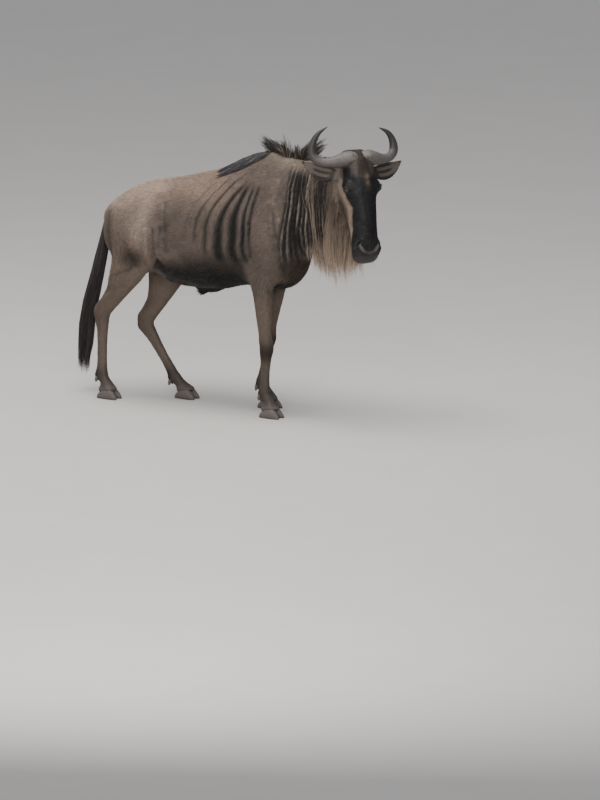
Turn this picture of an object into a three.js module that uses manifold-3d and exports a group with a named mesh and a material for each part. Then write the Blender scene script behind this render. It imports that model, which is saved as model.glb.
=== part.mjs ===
// A standing wildebeest bull at life size, as closed solids: trunk, neck, head, legs, hooves, horns, ears,
// eyes, mane, beard and tail. Millimetres. While it is shaped, X runs towards the head, Y to its left and Z
// up, with the near foreleg above X = 0 and the soles at Z = 0. The last lines move the origin to the middle
// of its base.
import * as THREE from "three";
import { mergeVertices } from "three/addons/utils/BufferGeometryUtils.js";
import Module from "manifold-3d";

const wasm = await Module();
wasm.setup();

// Driving dimensions
const WITHERS = 1300; // top of the shoulder hump
const CROUP = 1098; // top of the hips
const BELLY = 588; // lowest point of the barrel
const BRISKET = 620; // bottom of the chest between the forelegs
const CHEST_FRONT = 165; // how far the breast stands ahead of the near foreleg
const RUMP_BACK = -970; // rearmost point of the trunk
const BARREL_HALF = 218; // half the width of the ribs
const HIP_HALF = 192;
const HEAD_LENGTH = 505; // forehead to lips
const HEAD_HALF = 92; // half the width at the eyes
const HORN_REACH = 216; // from the middle of the head to a horn's outermost bend
const TIP_LIFT = { [-1]: 22, [1]: 0 }; // the right horn's tip stands higher than the left one's
const EAR_LENGTH = 176;
const EYE_RADIUS = 21;
const GAP = 0.35; // clearance between neighbouring pieces

// How the head is carried
const HEAD_TURN = -36; // degrees about Z, to the animal's right
const HEAD_DROP = 78; // degrees below level, along the face
const FOREHEAD = new THREE.Vector3(584, -147, 1341); // middle of the forehead, between the horns

const RIGHT = -1;
const LEFT = 1;
const SIDES = { right: RIGHT, left: LEFT };
const degrees = THREE.MathUtils.degToRad;

// The frame of the face: along runs down the face, left to the animal's left, out away from the forehead
const heading = new THREE.Vector3(Math.cos(degrees(HEAD_TURN)), Math.sin(degrees(HEAD_TURN)), 0);
const faceAlong = heading.clone().multiplyScalar(Math.cos(degrees(HEAD_DROP)));
faceAlong.z = -Math.sin(degrees(HEAD_DROP));
const faceLeft = new THREE.Vector3(-heading.y, heading.x, 0);
const faceOut = new THREE.Vector3().crossVectors(faceAlong, faceLeft);
const headFrame = new THREE.Matrix4().makeBasis(faceAlong, faceLeft, faceOut).setPosition(FOREHEAD);
const inHead = (along, left, out) => new THREE.Vector3(along, left, out).applyMatrix4(headFrame);

// A closed three.js geometry as a solid that can be joined and cut
function solidOf(geometry) {
  const bare = geometry.clone();
  bare.deleteAttribute("normal");
  bare.deleteAttribute("uv");
  const merged = mergeVertices(bare, 1e-3);
  const triVerts = new Uint32Array(merged.index.array);
  const vertProperties = merged.getAttribute("position").array;
  const make = () => new wasm.Manifold(new wasm.Mesh({ numProp: 3, vertProperties, triVerts }));
  const made = make();
  if (made.volume() > 0) return made;
  triVerts.reverse();
  return make();
}

// A smooth value through the stations' numbers of that name, at t from 0 to 1 along the row
function along(stations, name, t, missing = 0) {
  const last = stations.length - 1;
  const place = Math.min(t, 1) * last;
  const i = Math.min(Math.floor(place), last - 1);
  const f = place - i;
  const value = (n) => stations[Math.max(0, Math.min(last, n))][name] ?? missing;
  const [a, b, c, d] = [value(i - 1), value(i), value(i + 1), value(i + 2)];
  return b + 0.5 * f * (c - a + f * (2 * a - 5 * b + 4 * c - d + f * (3 * (b - c) + d - a)));
}

// A tube through stations. Each station has its middle x, y, z, a half depth and a half width; egg narrows
// the upper half, square fills the corners and cup bends the section. The depth points up on a level tube
// and forwards on an upright one. upright keeps every section square to X. grow makes all of it larger.
function tube(stations, { sides = 16, rings = 20, grow = 0, upright = false, across = faceY } = {}) {
  const shape = new THREE.CylinderGeometry(1, 1, 1, sides, rings);
  const spots = shape.getAttribute("position");
  const middle = (t) =>
    new THREE.Vector3(along(stations, "x", t), along(stations, "y", t), along(stations, "z", t));
  const step = 0.01;
  for (let i = 0; i < spots.count; i++) {
    const t = THREE.MathUtils.clamp(spots.getY(i) + 0.5, 0, 1);
    const rim = Math.hypot(spots.getX(i), spots.getZ(i));
    const turn = Math.atan2(spots.getZ(i), spots.getX(i));
    const from = middle(Math.max(0, t - step));
    const to = middle(Math.min(1, t + step));
    const ahead = upright ? new THREE.Vector3(1, 0, 0) : to.sub(from).normalize();
    const side = across(t).clone();
    side.addScaledVector(ahead, -side.dot(ahead)).normalize();
    const up = new THREE.Vector3().crossVectors(ahead, side);
    const power = 2 / (2 + along(stations, "square", t));
    const bulge = (v) => Math.sign(v) * Math.abs(v) ** power;
    const narrow = 1 - along(stations, "egg", t) * Math.sin(turn);
    const wide = (along(stations, "wide", t) * narrow + grow) * bulge(Math.cos(turn)) * rim;
    const deep = (along(stations, "deep", t) + grow) * bulge(Math.sin(turn)) * rim;
    const bend = along(stations, "cup", t) * (wide / along(stations, "wide", t, 1)) ** 2;
    const end = grow * (2 * t - 1) * (t === 0 || t === 1 ? 1 : 0);
    const spot = middle(t)
      .addScaledVector(side, wide)
      .addScaledVector(up, deep + bend)
      .addScaledVector(ahead, end);
    spots.setXYZ(i, spot.x, spot.y, spot.z);
  }
  return shape;
}
function faceY() {
  return new THREE.Vector3(0, 1, 0);
}

// Stations given by the height of their top and bottom, as a back and a belly are
const profiled = (rows) =>
  rows.map((row) => ({ ...row, z: (row.top + row.bottom) / 2, deep: (row.top - row.bottom) / 2 }));

// An ellipsoid in the head's frame
function lump(along, left, out, sizes, grow) {
  const ball = new THREE.SphereGeometry(1, 8, 5).rotateX(Math.PI / 2);
  const grown = sizes.map((size) => size + grow);
  return solidOf(ball.scale(...grown).translate(along, left, out).applyMatrix4(headFrame));
}

const join = (pieces) => pieces.reduce((whole, piece) => whole.add(piece));

function trunk(grow) {
  const stations = profiled([
    { x: RUMP_BACK, top: 905, bottom: 800, wide: 46 },
    { x: -950, top: 954, bottom: 735, wide: 98 },
    { x: -920, top: 990, bottom: 690, wide: 132 },
    { x: -850, top: 1040, bottom: 668, wide: 168, egg: 0.05 },
    { x: -765, top: CROUP - 12, bottom: 662, wide: HIP_HALF - 6, egg: 0.1 },
    { x: -690, top: CROUP + 8, bottom: 645, wide: HIP_HALF, egg: 0.14, square: 0.15 },
    { x: -590, top: 1122, bottom: 606, wide: HIP_HALF + 8, egg: 0.18, square: 0.2 },
    { x: -480, top: 1141, bottom: 590, wide: BARREL_HALF - 4, egg: 0.2, square: 0.2 },
    { x: -370, top: 1166, bottom: BELLY, wide: BARREL_HALF, egg: 0.22, square: 0.2 },
    { x: -260, top: 1213, bottom: 600, wide: BARREL_HALF - 6, egg: 0.28, square: 0.15 },
    { x: -160, top: 1268, bottom: 628, wide: BARREL_HALF - 26, egg: 0.36, square: 0.1 },
    { x: -60, top: WITHERS - 3, bottom: 628, wide: 172, egg: 0.42 },
    { x: 20, top: WITHERS - 2, bottom: BRISKET, wide: 156, egg: 0.4 },
    { x: 85, top: 1240, bottom: 634, wide: 142, egg: 0.28 },
    { x: 132, top: 1120, bottom: 672, wide: 120, egg: 0.12 },
    { x: CHEST_FRONT, top: 930, bottom: 735, wide: 62 },
  ]);
  return solidOf(tube(stations, { sides: 20, rings: 17, grow, upright: true }));
}

function neck(grow) {
  const stations = [
    { x: -70, y: 0, z: 1000, deep: 290, wide: 150, egg: 0.3 },
    { x: 20, y: 0, z: 1020, deep: 276, wide: 146, egg: 0.32 },
    { x: 110, y: -3, z: 1046, deep: 252, wide: 132, egg: 0.34 },
    { x: 200, y: -10, z: 1082, deep: 218, wide: 118, egg: 0.34 },
    { x: 290, y: -22, z: 1122, deep: 180, wide: 104, egg: 0.3 },
    { x: 375, y: -40, z: 1162, deep: 146, wide: 92, egg: 0.24 },
    { x: 450, y: -62, z: 1196, deep: 118, wide: 80, egg: 0.15 },
  ];
  return solidOf(tube(stations, { sides: 16, rings: 7, grow }));
}

// The head lies level here, with its nose at the high x end, and headFrame hangs it in place
function head(grow) {
  const stations = profiled([
    { x: -52, top: -80, bottom: -175, wide: 46 },
    { x: -34, top: -42, bottom: -205, wide: 68, square: 0.3 },
    { x: 0, top: -12, bottom: -222, wide: 80, square: 0.4 },
    { x: 50, top: 2, bottom: -232, wide: HEAD_HALF - 6, egg: 0.02, square: 0.5 },
    { x: 100, top: 6, bottom: -236, wide: HEAD_HALF - 2, egg: 0.04, square: 0.5 },
    { x: 150, top: 6, bottom: -233, wide: HEAD_HALF - 6, egg: 0.02, square: 0.5 },
    { x: 200, top: 6, bottom: -218, wide: 76, square: 0.5 },
    { x: 255, top: 6, bottom: -192, wide: 70, egg: -0.04, square: 0.5 },
    { x: 310, top: 5, bottom: -166, wide: 65, egg: -0.06, square: 0.5 },
    { x: 365, top: 2, bottom: -144, wide: 63, egg: -0.06, square: 0.4 },
    { x: 415, top: -3, bottom: -130, wide: 67, egg: -0.02, square: 0.4 },
    { x: 455, top: -12, bottom: -122, wide: 71, egg: 0.04, square: 0.4 },
    { x: 487, top: -30, bottom: -116, wide: 64, egg: 0.06, square: 0.3 },
    { x: HEAD_LENGTH, top: -56, bottom: -100, wide: 40 },
  ]);
  const skull = tube(stations, { sides: 14, rings: 14, grow, upright: true }).applyMatrix4(headFrame);
  const bumps = Object.values(SIDES).flatMap((side) => [
    lump(140, side * 64, -40, [48, 32, 30], grow), // brow and orbit
    lump(430, side * 40, -34, [46, 30, 30], grow), // nostril
  ]);
  return join([solidOf(skull), ...bumps]);
}

// The joints of each leg, from the body down. y is a joint's distance from the animal's middle plane.
const FORE_JOINTS = [
  { name: "scapula", x: -55, y: 92, z: 1085 },
  { name: "shoulder", x: 22, y: 118, z: 850 },
  { name: "elbow", x: -22, y: 118, z: 700 },
  { name: "knee", x: 2, y: 106, z: 345 },
  { name: "fetlock", x: -8, y: 104, z: 122 },
  { name: "coronet", x: 28, y: 104, z: 58 },
];
const FAR_FORE_SHIFT = { scapula: 0, shoulder: -18, elbow: -48, knee: -120, fetlock: -146, coronet: -140 };
const HIND_JOINTS = [
  { name: "hip", x: -800, y: 92, z: 985 },
  { name: "stifle", x: -722, y: 122, z: 705 },
  { name: "hock", x: -945, y: 104, z: 432 },
  { name: "fetlock", x: -950, y: 102, z: 118 },
  { name: "coronet", x: -912, y: 102, z: 56 },
];
const FAR_HIND_JOINTS = [
  { name: "hip", x: -770, y: 92, z: 965 },
  { name: "stifle", x: -655, y: 122, z: 640 },
  { name: "hock", x: -835, y: 106, z: 360 },
  { name: "fetlock", x: -655, y: 102, z: 98 },
  { name: "coronet", x: -590, y: 102, z: 50 },
];

// Flesh over the bones: bone and t place a station between a joint and the next one, back moves it rearwards
const FORE_FLESH = [
  { bone: 0, t: 0.0, deep: 96, wide: 34 },
  { bone: 0, t: 0.4, deep: 122, wide: 50 },
  { bone: 0, t: 0.8, deep: 128, wide: 56, back: 12 },
  { bone: 1, t: 0.35, deep: 112, wide: 56, back: 16 },
  { bone: 1, t: 0.9, deep: 84, wide: 50, back: 8 },
  { bone: 2, t: 0.2, deep: 57, wide: 43, back: -4 },
  { bone: 2, t: 0.42, deep: 49, wide: 38, back: -3 },
  { bone: 2, t: 0.66, deep: 42, wide: 33 },
  { bone: 2, t: 0.86, deep: 34, wide: 30 },
  { bone: 3, t: 0.0, deep: 38, wide: 34, back: -3, square: 0.4 },
  { bone: 3, t: 0.17, deep: 34, wide: 30, back: -1 },
  { bone: 3, t: 0.4, deep: 28, wide: 22 },
  { bone: 3, t: 0.7, deep: 27, wide: 21 },
  { bone: 3, t: 0.9, deep: 30, wide: 25 },
  { bone: 3, t: 1.0, deep: 35, wide: 30, back: 3 },
  { bone: 4, t: 0.5, deep: 26, wide: 27 },
  { bone: 4, t: 0.85, deep: 30, wide: 33 },
  { bone: 4, t: 1.1, deep: 30, wide: 35 },
];
const HIND_FLESH = [
  { bone: 0, t: 0.0, deep: 118, wide: 60 },
  { bone: 0, t: 0.35, deep: 136, wide: 78, back: 22 },
  { bone: 0, t: 0.75, deep: 132, wide: 76, back: 34 },
  { bone: 1, t: 0.0, deep: 116, wide: 64, back: 48 },
  { bone: 1, t: 0.25, deep: 94, wide: 54, back: 30 },
  { bone: 1, t: 0.5, deep: 68, wide: 43, back: 8 },
  { bone: 1, t: 0.72, deep: 52, wide: 34, back: 0 },
  { bone: 1, t: 0.92, deep: 49, wide: 29, back: 4 },
  { bone: 2, t: 0.05, deep: 47, wide: 31, back: 6, square: 0.3 },
  { bone: 2, t: 0.2, deep: 38, wide: 29 },
  { bone: 2, t: 0.4, deep: 30, wide: 23 },
  { bone: 2, t: 0.7, deep: 28, wide: 22 },
  { bone: 2, t: 0.9, deep: 31, wide: 25 },
  { bone: 2, t: 1.0, deep: 35, wide: 30, back: 3 },
  { bone: 3, t: 0.5, deep: 26, wide: 27 },
  { bone: 3, t: 0.85, deep: 29, wide: 32 },
  { bone: 3, t: 1.1, deep: 29, wide: 34 },
];

function legStations(joints, flesh, side) {
  return flesh.map(({ bone, t, back = 0, ...size }) => {
    const [from, to] = [joints[bone], joints[bone + 1]];
    const mix = (axis) => THREE.MathUtils.lerp(from[axis], to[axis], t);
    return { ...size, x: mix("x") - back, y: side * mix("y"), z: mix("z") };
  });
}

const shifted = (joints, shift) => joints.map((joint) => ({ ...joint, x: joint.x + shift[joint.name] }));

// A leg parts from the trunk at a height of LEG_TOP, from behind to ahead of its root joint along X
const FORE = { flesh: FORE_FLESH, root: "elbow", mid: "knee", behind: 95, ahead: 105 };
const HIND = { flesh: HIND_FLESH, root: "stifle", mid: "hock", behind: 360, ahead: 85 };
const LEG_TOP = 655;
const MIDDLE = -400; // an X between the forelegs and the hind legs
const LEG_INSIDE = 48; // how far from the middle plane a leg's own flesh starts
const LEGS = [
  { name: "leg_fore_right", side: RIGHT, joints: FORE_JOINTS, ...FORE },
  { name: "leg_fore_left", side: LEFT, joints: shifted(FORE_JOINTS, FAR_FORE_SHIFT), ...FORE },
  { name: "leg_hind_right", side: RIGHT, joints: HIND_JOINTS, ...HIND },
  { name: "leg_hind_left", side: LEFT, joints: FAR_HIND_JOINTS, ...HIND },
];

function leg({ joints, flesh, side }, grow) {
  return solidOf(tube(legStations(joints, flesh, side), { sides: 10, rings: 20, grow }));
}

// One half of a cloven hoof, its toe towards +X and its sole on the ground
function claw(joints, side, outer, grow = 0) {
  const coronet = joints[joints.length - 1];
  const splay = degrees(4) * side * (outer ? 1 : -1);
  const offset = side * (outer ? 20 : -20);
  const floor = new THREE.BoxGeometry(400, 400, 100).translate(0, 0, -50);
  const stations = profiled([
    { x: -52, top: 24, bottom: -4, wide: 8 },
    { x: -40, top: 44, bottom: -8, wide: 14 },
    { x: -8, top: 60, bottom: -8, wide: 18, square: 0.5 },
    { x: 22, top: 50, bottom: -8, wide: 18.5, square: 0.5 },
    { x: 48, top: 30, bottom: -8, wide: 15, square: 0.4 },
    { x: 66, top: 13, bottom: -6, wide: 7 },
  ]);
  const shape = tube(stations, { sides: 8, rings: 5, grow, upright: true });
  shape.rotateZ(splay).translate(0, offset, 0);
  const whole = grow ? solidOf(shape) : solidOf(shape).subtract(solidOf(floor));
  return whole.translate([coronet.x - 4, side * coronet.y, 0]);
}

function dewclaw(joints, side, outer, grow = 0) {
  const fetlock = joints[joints.length - 2];
  const stations = [
    { x: 0, y: 0, z: 12, deep: 8, wide: 9 },
    { x: -9, y: 0, z: -2, deep: 9, wide: 10 },
    { x: -13, y: 0, z: -17, deep: 4, wide: 5 },
  ];
  const shape = tube(stations, { sides: 6, rings: 2, grow });
  const apart = outer ? 15 : -15;
  return solidOf(shape.translate(fetlock.x - 20, side * (fetlock.y + apart), fetlock.z - 24));
}

// Horns sweep out level from the boss, then up and in. From the boss's middle, reach is sideways in parts of
// HORN_REACH, rise is upwards and sweep is along the heading.
function horn(side, grow = 0) {
  const boss = inHead(-6, 0, -62);
  const path = [
    { reach: 0.1, rise: 4, sweep: 4, deep: 30, wide: 36 },
    { reach: 0.24, rise: 2, sweep: -4, deep: 38, wide: 42 },
    { reach: 0.42, rise: -8, sweep: -14, deep: 34, wide: 36 },
    { reach: 0.64, rise: -16, sweep: -26, deep: 22, wide: 24 },
    { reach: 0.84, rise: -12, sweep: -46, deep: 19, wide: 20 },
    { reach: 0.97, rise: 10, sweep: -66, deep: 18, wide: 18 },
    { reach: 1.0, rise: 42, sweep: -77, deep: 17, wide: 17 },
    { reach: 0.95, rise: 76, sweep: -80, deep: 14.5, wide: 14.5, lift: 0.3 },
    { reach: 0.83, rise: 107, sweep: -76, deep: 11, wide: 11, lift: 0.7 },
    { reach: 0.62, rise: 132, sweep: -70, deep: 3, wide: 3, lift: 1 },
  ];
  const stations = path.map(({ reach, rise, sweep, lift = 0, ...size }) => {
    const spot = boss
      .clone()
      .addScaledVector(faceLeft, side * reach * HORN_REACH)
      .addScaledVector(heading, sweep);
    return { ...size, x: spot.x, y: spot.y, z: spot.z + rise + lift * TIP_LIFT[side] };
  });
  return solidOf(tube(stations, { sides: 8, rings: 15, grow, across: () => heading }));
}

// A leaf-shaped cup that opens forwards
function ear(side, grow = 0) {
  const lift = { [RIGHT]: 0.48, [LEFT]: 0.22 }[side];
  const root = inHead(54, side * 92, -138);
  const out = faceLeft.clone().multiplyScalar(side).setZ(lift).addScaledVector(heading, -0.1).normalize();
  const leaf = [
    { t: -0.12, wide: 20, deep: 14 },
    { t: 0.08, wide: 27, deep: 12, cup: 5 },
    { t: 0.28, wide: 41, deep: 8, cup: 14 },
    { t: 0.5, wide: 47, deep: 6, cup: 18 },
    { t: 0.72, wide: 39, deep: 5, cup: 14 },
    { t: 0.9, wide: 20, deep: 4, cup: 7 },
    { t: 1, wide: 6, deep: 3, cup: 2 },
  ];
  const stations = leaf.map(({ t, ...size }) => {
    const spot = root.clone().addScaledVector(out, t * EAR_LENGTH);
    return { ...size, x: spot.x, y: spot.y, z: spot.z };
  });
  const across = () => new THREE.Vector3(0, 0, side).addScaledVector(heading, -0.35 * side);
  return solidOf(tube(stations, { sides: 10, rings: 8, grow, across }));
}

function eye(side, grow = 0) {
  const ball = new THREE.SphereGeometry(EYE_RADIUS + grow, 8, 6);
  const spot = inHead(140, side * 80, -42);
  return solidOf(ball.translate(spot.x, spot.y, spot.z));
}

// The ridge of long hair from the middle of the back to the poll
function mane() {
  const stations = [
    { x: -372, y: 0, z: 1158, deep: 8, wide: 8 },
    { x: -300, y: 0, z: 1184, deep: 12, wide: 14 },
    { x: -210, y: 0, z: 1228, deep: 19, wide: 18 },
    { x: -130, y: 0, z: 1272, deep: 25, wide: 20 },
    { x: -60, y: 0, z: 1300, deep: 36, wide: 20 },
    { x: 20, y: 0, z: 1314, deep: 44, wide: 20 },
    { x: 110, y: -2, z: 1326, deep: 48, wide: 20 },
    { x: 195, y: -8, z: 1324, deep: 48, wide: 20 },
    { x: 270, y: -17, z: 1316, deep: 40, wide: 20 },
    { x: 330, y: -28, z: 1312, deep: 38, wide: 19 },
    { x: 390, y: -44, z: 1312, deep: 32, wide: 17 },
  ];
  const ridged = stations.map((station) => ({ egg: 0.45, ...station }));
  return solidOf(tube(ridged, { sides: 7, rings: 12 }));
}

// A curtain of hair below the throat and the jaw
function beard() {
  const stations = [
    { x: 196, y: -8, z: 790, deep: 30, wide: 20 },
    { x: 245, y: -16, z: 800, deep: 100, wide: 36 },
    { x: 320, y: -30, z: 828, deep: 150, wide: 42 },
    { x: 400, y: -56, z: 862, deep: 176, wide: 44 },
    { x: 470, y: -92, z: 874, deep: 168, wide: 42 },
    { x: 526, y: -124, z: 862, deep: 118, wide: 34 },
    { x: 556, y: -146, z: 850, deep: 60, wide: 18 },
  ];
  const fuller = stations.map((station) => ({ egg: -0.25, ...station }));
  return solidOf(tube(fuller, { sides: 10, rings: 8, upright: true }));
}

const TAIL = [
  { x: -925, y: 0, z: 948, deep: 14, wide: 20 },
  { x: -966, y: 0, z: 905, deep: 18, wide: 22 },
  { x: -984, y: 0, z: 820, deep: 18, wide: 22 },
  { x: -998, y: 0, z: 710, deep: 20, wide: 25 },
  { x: -1026, y: 0, z: 585, deep: 27, wide: 31 },
  { x: -1064, y: 0, z: 455, deep: 36, wide: 38 },
  { x: -1086, y: 0, z: 330, deep: 42, wide: 42 },
  { x: -1097, y: 0, z: 210, deep: 40, wide: 38 },
  { x: -1108, y: 0, z: 130, deep: 25, wide: 24 },
  { x: -1112, y: 0, z: 84, deep: 8, wide: 8 },
];
const tail = (grow) => solidOf(tube(TAIL, { sides: 9, rings: 12, grow }));

// The pizzle's tuft under the belly
function sheath(grow) {
  const stations = [
    { x: -300, y: 0, z: 600, deep: 12, wide: 12 },
    { x: -350, y: 0, z: 588, deep: 22, wide: 20 },
    { x: -405, y: 0, z: 582, deep: 20, wide: 17 },
    { x: -432, y: 0, z: 560, deep: 6, wide: 5 },
  ];
  return solidOf(tube(stations, { sides: 8, rings: 5, grow }));
}

const FLESH = { color: 0x6b5f57, roughness: 0.95 };
const FINISHES = {
  flesh: FLESH,
  face: { color: 0x2c2c2e, roughness: 0.9 },
  horn: { color: 0x565250, roughness: 0.6 },
  hoof: { color: 0x5c5755, roughness: 0.75 },
  eye: { color: 0x120d0a, roughness: 0.1 },
  dark_hair: { color: 0x1f1f22, roughness: 0.8 },
  pale_hair: { color: 0x97806a, roughness: 0.9 },
};
const part = new THREE.Group();

function place(name, solid, finish) {
  const whole = solid.decompose().sort((a, b) => b.volume() - a.volume())[0];
  const { vertProperties, triVerts } = whole.getMesh();
  const geometry = new THREE.BufferGeometry();
  geometry.setAttribute("position", new THREE.BufferAttribute(vertProperties, 3));
  geometry.setIndex(new THREE.BufferAttribute(triVerts, 1));
  const material = new THREE.MeshStandardMaterial({ metalness: 0, ...FINISHES[finish] });
  const mesh = new THREE.Mesh(geometry, material);
  mesh.name = name;
  part.add(mesh);
}

// A block of all that is beyond a plane through spot, from a gap before the plane
function beyond(spot, towards, gap) {
  const size = 4000;
  const block = new THREE.BoxGeometry(size, size, size).translate(0, 0, size / 2 - gap);
  const up = new THREE.Vector3(0, 0, 1);
  const turn = new THREE.Quaternion().setFromUnitVectors(up, towards.clone().normalize());
  return solidOf(block.applyQuaternion(turn).translate(spot.x, spot.y, spot.z));
}
function boxed(low, high, grow) {
  const size = high.map((value, i) => value - low[i] + 2 * grow);
  const middle = high.map((value, i) => (value + low[i]) / 2);
  return solidOf(new THREE.BoxGeometry(...size).translate(...middle));
}

// Everything of flesh is made whole, then makes room for the pieces that are set into it
const setIn = [];
for (const [name, side] of Object.entries(SIDES)) {
  setIn.push({ name: `horn_${name}`, finish: "horn", make: (grow) => horn(side, grow) });
  setIn.push({ name: `eye_${name}`, finish: "eye", make: (grow) => eye(side, grow) });
  setIn.push({ name: `ear_${name}`, finish: "flesh", make: (grow) => ear(side, grow) });
}
for (const { name, joints, side } of LEGS)
  for (const outer of [true, false]) {
    const foot = name.replace("leg", "foot") + (outer ? "_outer" : "_inner");
    setIn.push({ name: `${foot}_hoof`, finish: "hoof", make: (grow) => claw(joints, side, outer, grow) });
    const small = (grow) => dewclaw(joints, side, outer, grow);
    setIn.push({ name: `${foot}_dewclaw`, finish: "hoof", make: small });
  }

const dockTip = new THREE.Vector3(TAIL[2].x, 0, TAIL[2].z);
const dockEnd = (gap) => beyond(dockTip, new THREE.Vector3(0.12, 0, 1), gap);
function fleshWhole(grow) {
  const dock = tail(grow).intersect(dockEnd(0));
  const legs = LEGS.map((one) => leg(one, grow));
  return join([trunk(grow), neck(grow), head(grow), sheath(grow), dock, ...legs]);
}
let flesh = fleshWhole(0);
for (const [i, { name, make, finish }] of setIn.entries()) {
  const earlier = setIn.slice(0, i).filter((one) => one.name.startsWith("horn"));
  place(name, earlier.reduce((solid, one) => solid.subtract(one.make(GAP)), make(0)), finish);
  flesh = flesh.subtract(make(GAP));
}

// Long hair stands a gap off the flesh that carries it
const room = fleshWhole(GAP);
place("mane", mane().subtract(room), "dark_hair");
place("beard", beard().subtract(room), "pale_hair");
place("tail_hair", tail(0).subtract(dockEnd(GAP)).subtract(room), "dark_hair");

// Thin cuts part the flesh. Each takes what lies in its region, and a gap all round it.
function partOff(name, region, finish = "flesh") {
  place(name, flesh.intersect(region(0)), finish);
  flesh = flesh.subtract(region(GAP));
}
const nape = inHead(60, 0, -214);
partOff("head", (gap) => beyond(nape, faceOut, gap), "face");
partOff("neck", (gap) => beyond(new THREE.Vector3(60, 0, WITHERS), new THREE.Vector3(0.972, 0, 0.234), gap));
partOff("tail_dock", (gap) => boxed([-1200, -60, 700], [RUMP_BACK + 4, 60, 960], gap));
for (const { name, side, joints, root, mid, behind, ahead } of LEGS) {
  const [top, middle] = [root, mid].map((wanted) => joints.find((one) => one.name === wanted));
  const [near, far] = side === RIGHT ? [-400, -LEG_INSIDE] : [LEG_INSIDE, 400];
  const [back, front] = top.x > MIDDLE ? [MIDDLE, 400] : [-1300, MIDDLE];
  partOff(`${name}_lower`, (gap) => boxed([back, near, -10], [front, far, middle.z - 12], gap));
  partOff(`${name}_upper`, (gap) => boxed([top.x - behind, near, 0], [top.x + ahead, far, LEG_TOP], gap));
}
partOff("chest", (gap) => beyond(new THREE.Vector3(-215, 0, 0), new THREE.Vector3(1, 0, 0), gap));
partOff("rump", (gap) => beyond(new THREE.Vector3(-600, 0, 0), new THREE.Vector3(-1, 0, 0), gap));
place("barrel", flesh, "flesh");

// The origin goes to the middle of the base
const box = new THREE.Box3().setFromObject(part);
const centre = box.getCenter(new THREE.Vector3());
part.position.set(-centre.x, -centre.y, -box.min.z);
part.updateMatrixWorld(true);

export default part;
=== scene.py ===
"""A standing wildebeest bull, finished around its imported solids.

One skin stands for all the flesh and the ears. Short tufts lie over it in the direction of the coat, and
long strands make the mane, throat hair, beard, tail and lashes. Shapes are worked out in millimetres in the
animal's own frame, in which the solids were drawn: X towards the head, Y to its left, Z up, with the near
foreleg about X = 0. place() turns that into the frame's metres.
"""
import math

import bmesh
import bpy
import numpy as np
from mathutils import Matrix, Vector
from mathutils.bvhtree import BVHTree


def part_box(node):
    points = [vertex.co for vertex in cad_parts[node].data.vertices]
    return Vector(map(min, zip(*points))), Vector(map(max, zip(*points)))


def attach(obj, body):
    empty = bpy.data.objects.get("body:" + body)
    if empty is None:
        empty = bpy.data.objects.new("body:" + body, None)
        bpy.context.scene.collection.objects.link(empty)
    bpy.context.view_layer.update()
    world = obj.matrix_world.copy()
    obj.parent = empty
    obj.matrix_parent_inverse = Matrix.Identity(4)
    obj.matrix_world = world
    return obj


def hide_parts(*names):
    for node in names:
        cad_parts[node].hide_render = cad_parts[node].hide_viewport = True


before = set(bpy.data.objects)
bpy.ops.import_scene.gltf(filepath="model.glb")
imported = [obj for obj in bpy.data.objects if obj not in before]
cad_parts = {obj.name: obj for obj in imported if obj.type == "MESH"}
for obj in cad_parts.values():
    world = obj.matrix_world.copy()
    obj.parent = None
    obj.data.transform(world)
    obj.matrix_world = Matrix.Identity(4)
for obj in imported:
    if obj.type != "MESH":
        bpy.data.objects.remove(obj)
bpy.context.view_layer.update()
chance = np.random.default_rng(7)

MM = 0.001
RIGHT = -1
LEFT = 1
SIDES = {"right": RIGHT, "left": LEFT}
UP = np.array([0.0, 0.0, 1.0])

# How the head is carried. Its frame runs along the face, to the animal's left, and out from the forehead.
HEAD_TURN = math.radians(-36)
HEAD_DROP = math.radians(78)
FOREHEAD = np.array([584.0, -147.0, 1341.0])
EYE_SPOT = (140.0, 80.0, -42.0)
HEADING = np.array([math.cos(HEAD_TURN), math.sin(HEAD_TURN), 0.0])
FACE_ALONG = HEADING * math.cos(HEAD_DROP) - UP * math.sin(HEAD_DROP)
FACE_LEFT = np.array([-HEADING[1], HEADING[0], 0.0])
FACE_OUT = np.cross(FACE_ALONG, FACE_LEFT)
HEAD_AXES = np.array([FACE_ALONG, FACE_LEFT, FACE_OUT])


def in_head(along, left, out):
    """A spot of the head's frame in the animal's frame."""
    return FOREHEAD + np.array([along, left, out], dtype=float) @ HEAD_AXES


def from_head(spots):
    """Spots of the animal's frame in the head's frame."""
    return (spots - FOREHEAD) @ HEAD_AXES.T


def box_middle(node):
    low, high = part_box(node)
    return (np.array(low) + np.array(high)) / 2


# The eyes tie the animal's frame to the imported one
EYES_BETWEEN = (box_middle("eye_left") + box_middle("eye_right")) / 2 / MM
SHIFT = EYES_BETWEEN - in_head(EYE_SPOT[0], 0, EYE_SPOT[2])


def place(spots):
    """Millimetres in the animal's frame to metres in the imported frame."""
    return (np.asarray(spots, dtype=float) + SHIFT) * MM


def unplace(spots):
    return np.asarray(spots, dtype=float) / MM - SHIFT


def ramp(low, high, value):
    """0 below low, 1 above high, and smooth between; low may be above high."""
    t = np.clip((value - low) / (high - low), 0, 1)
    return t * t * (3 - 2 * t)


def between(low, high, edge, value):
    """1 from low to high, fading to 0 over edge outside them."""
    return ramp(low - edge, low, value) * ramp(high + edge, high, value)


def near(spots, centre, spread):
    """A soft bump round a centre: 1 there, and about a third at the distance of the spread."""
    offset = (spots - np.asarray(centre, dtype=float)) / np.asarray(spread, dtype=float)
    return np.exp(-(offset**2).sum(axis=-1))


def mixed(a, b, amount):
    return a + (b - a) * np.asarray(amount)[..., None]


def unit(vectors):
    return vectors / np.maximum(np.linalg.norm(vectors, axis=-1, keepdims=True), 1e-9)


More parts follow.
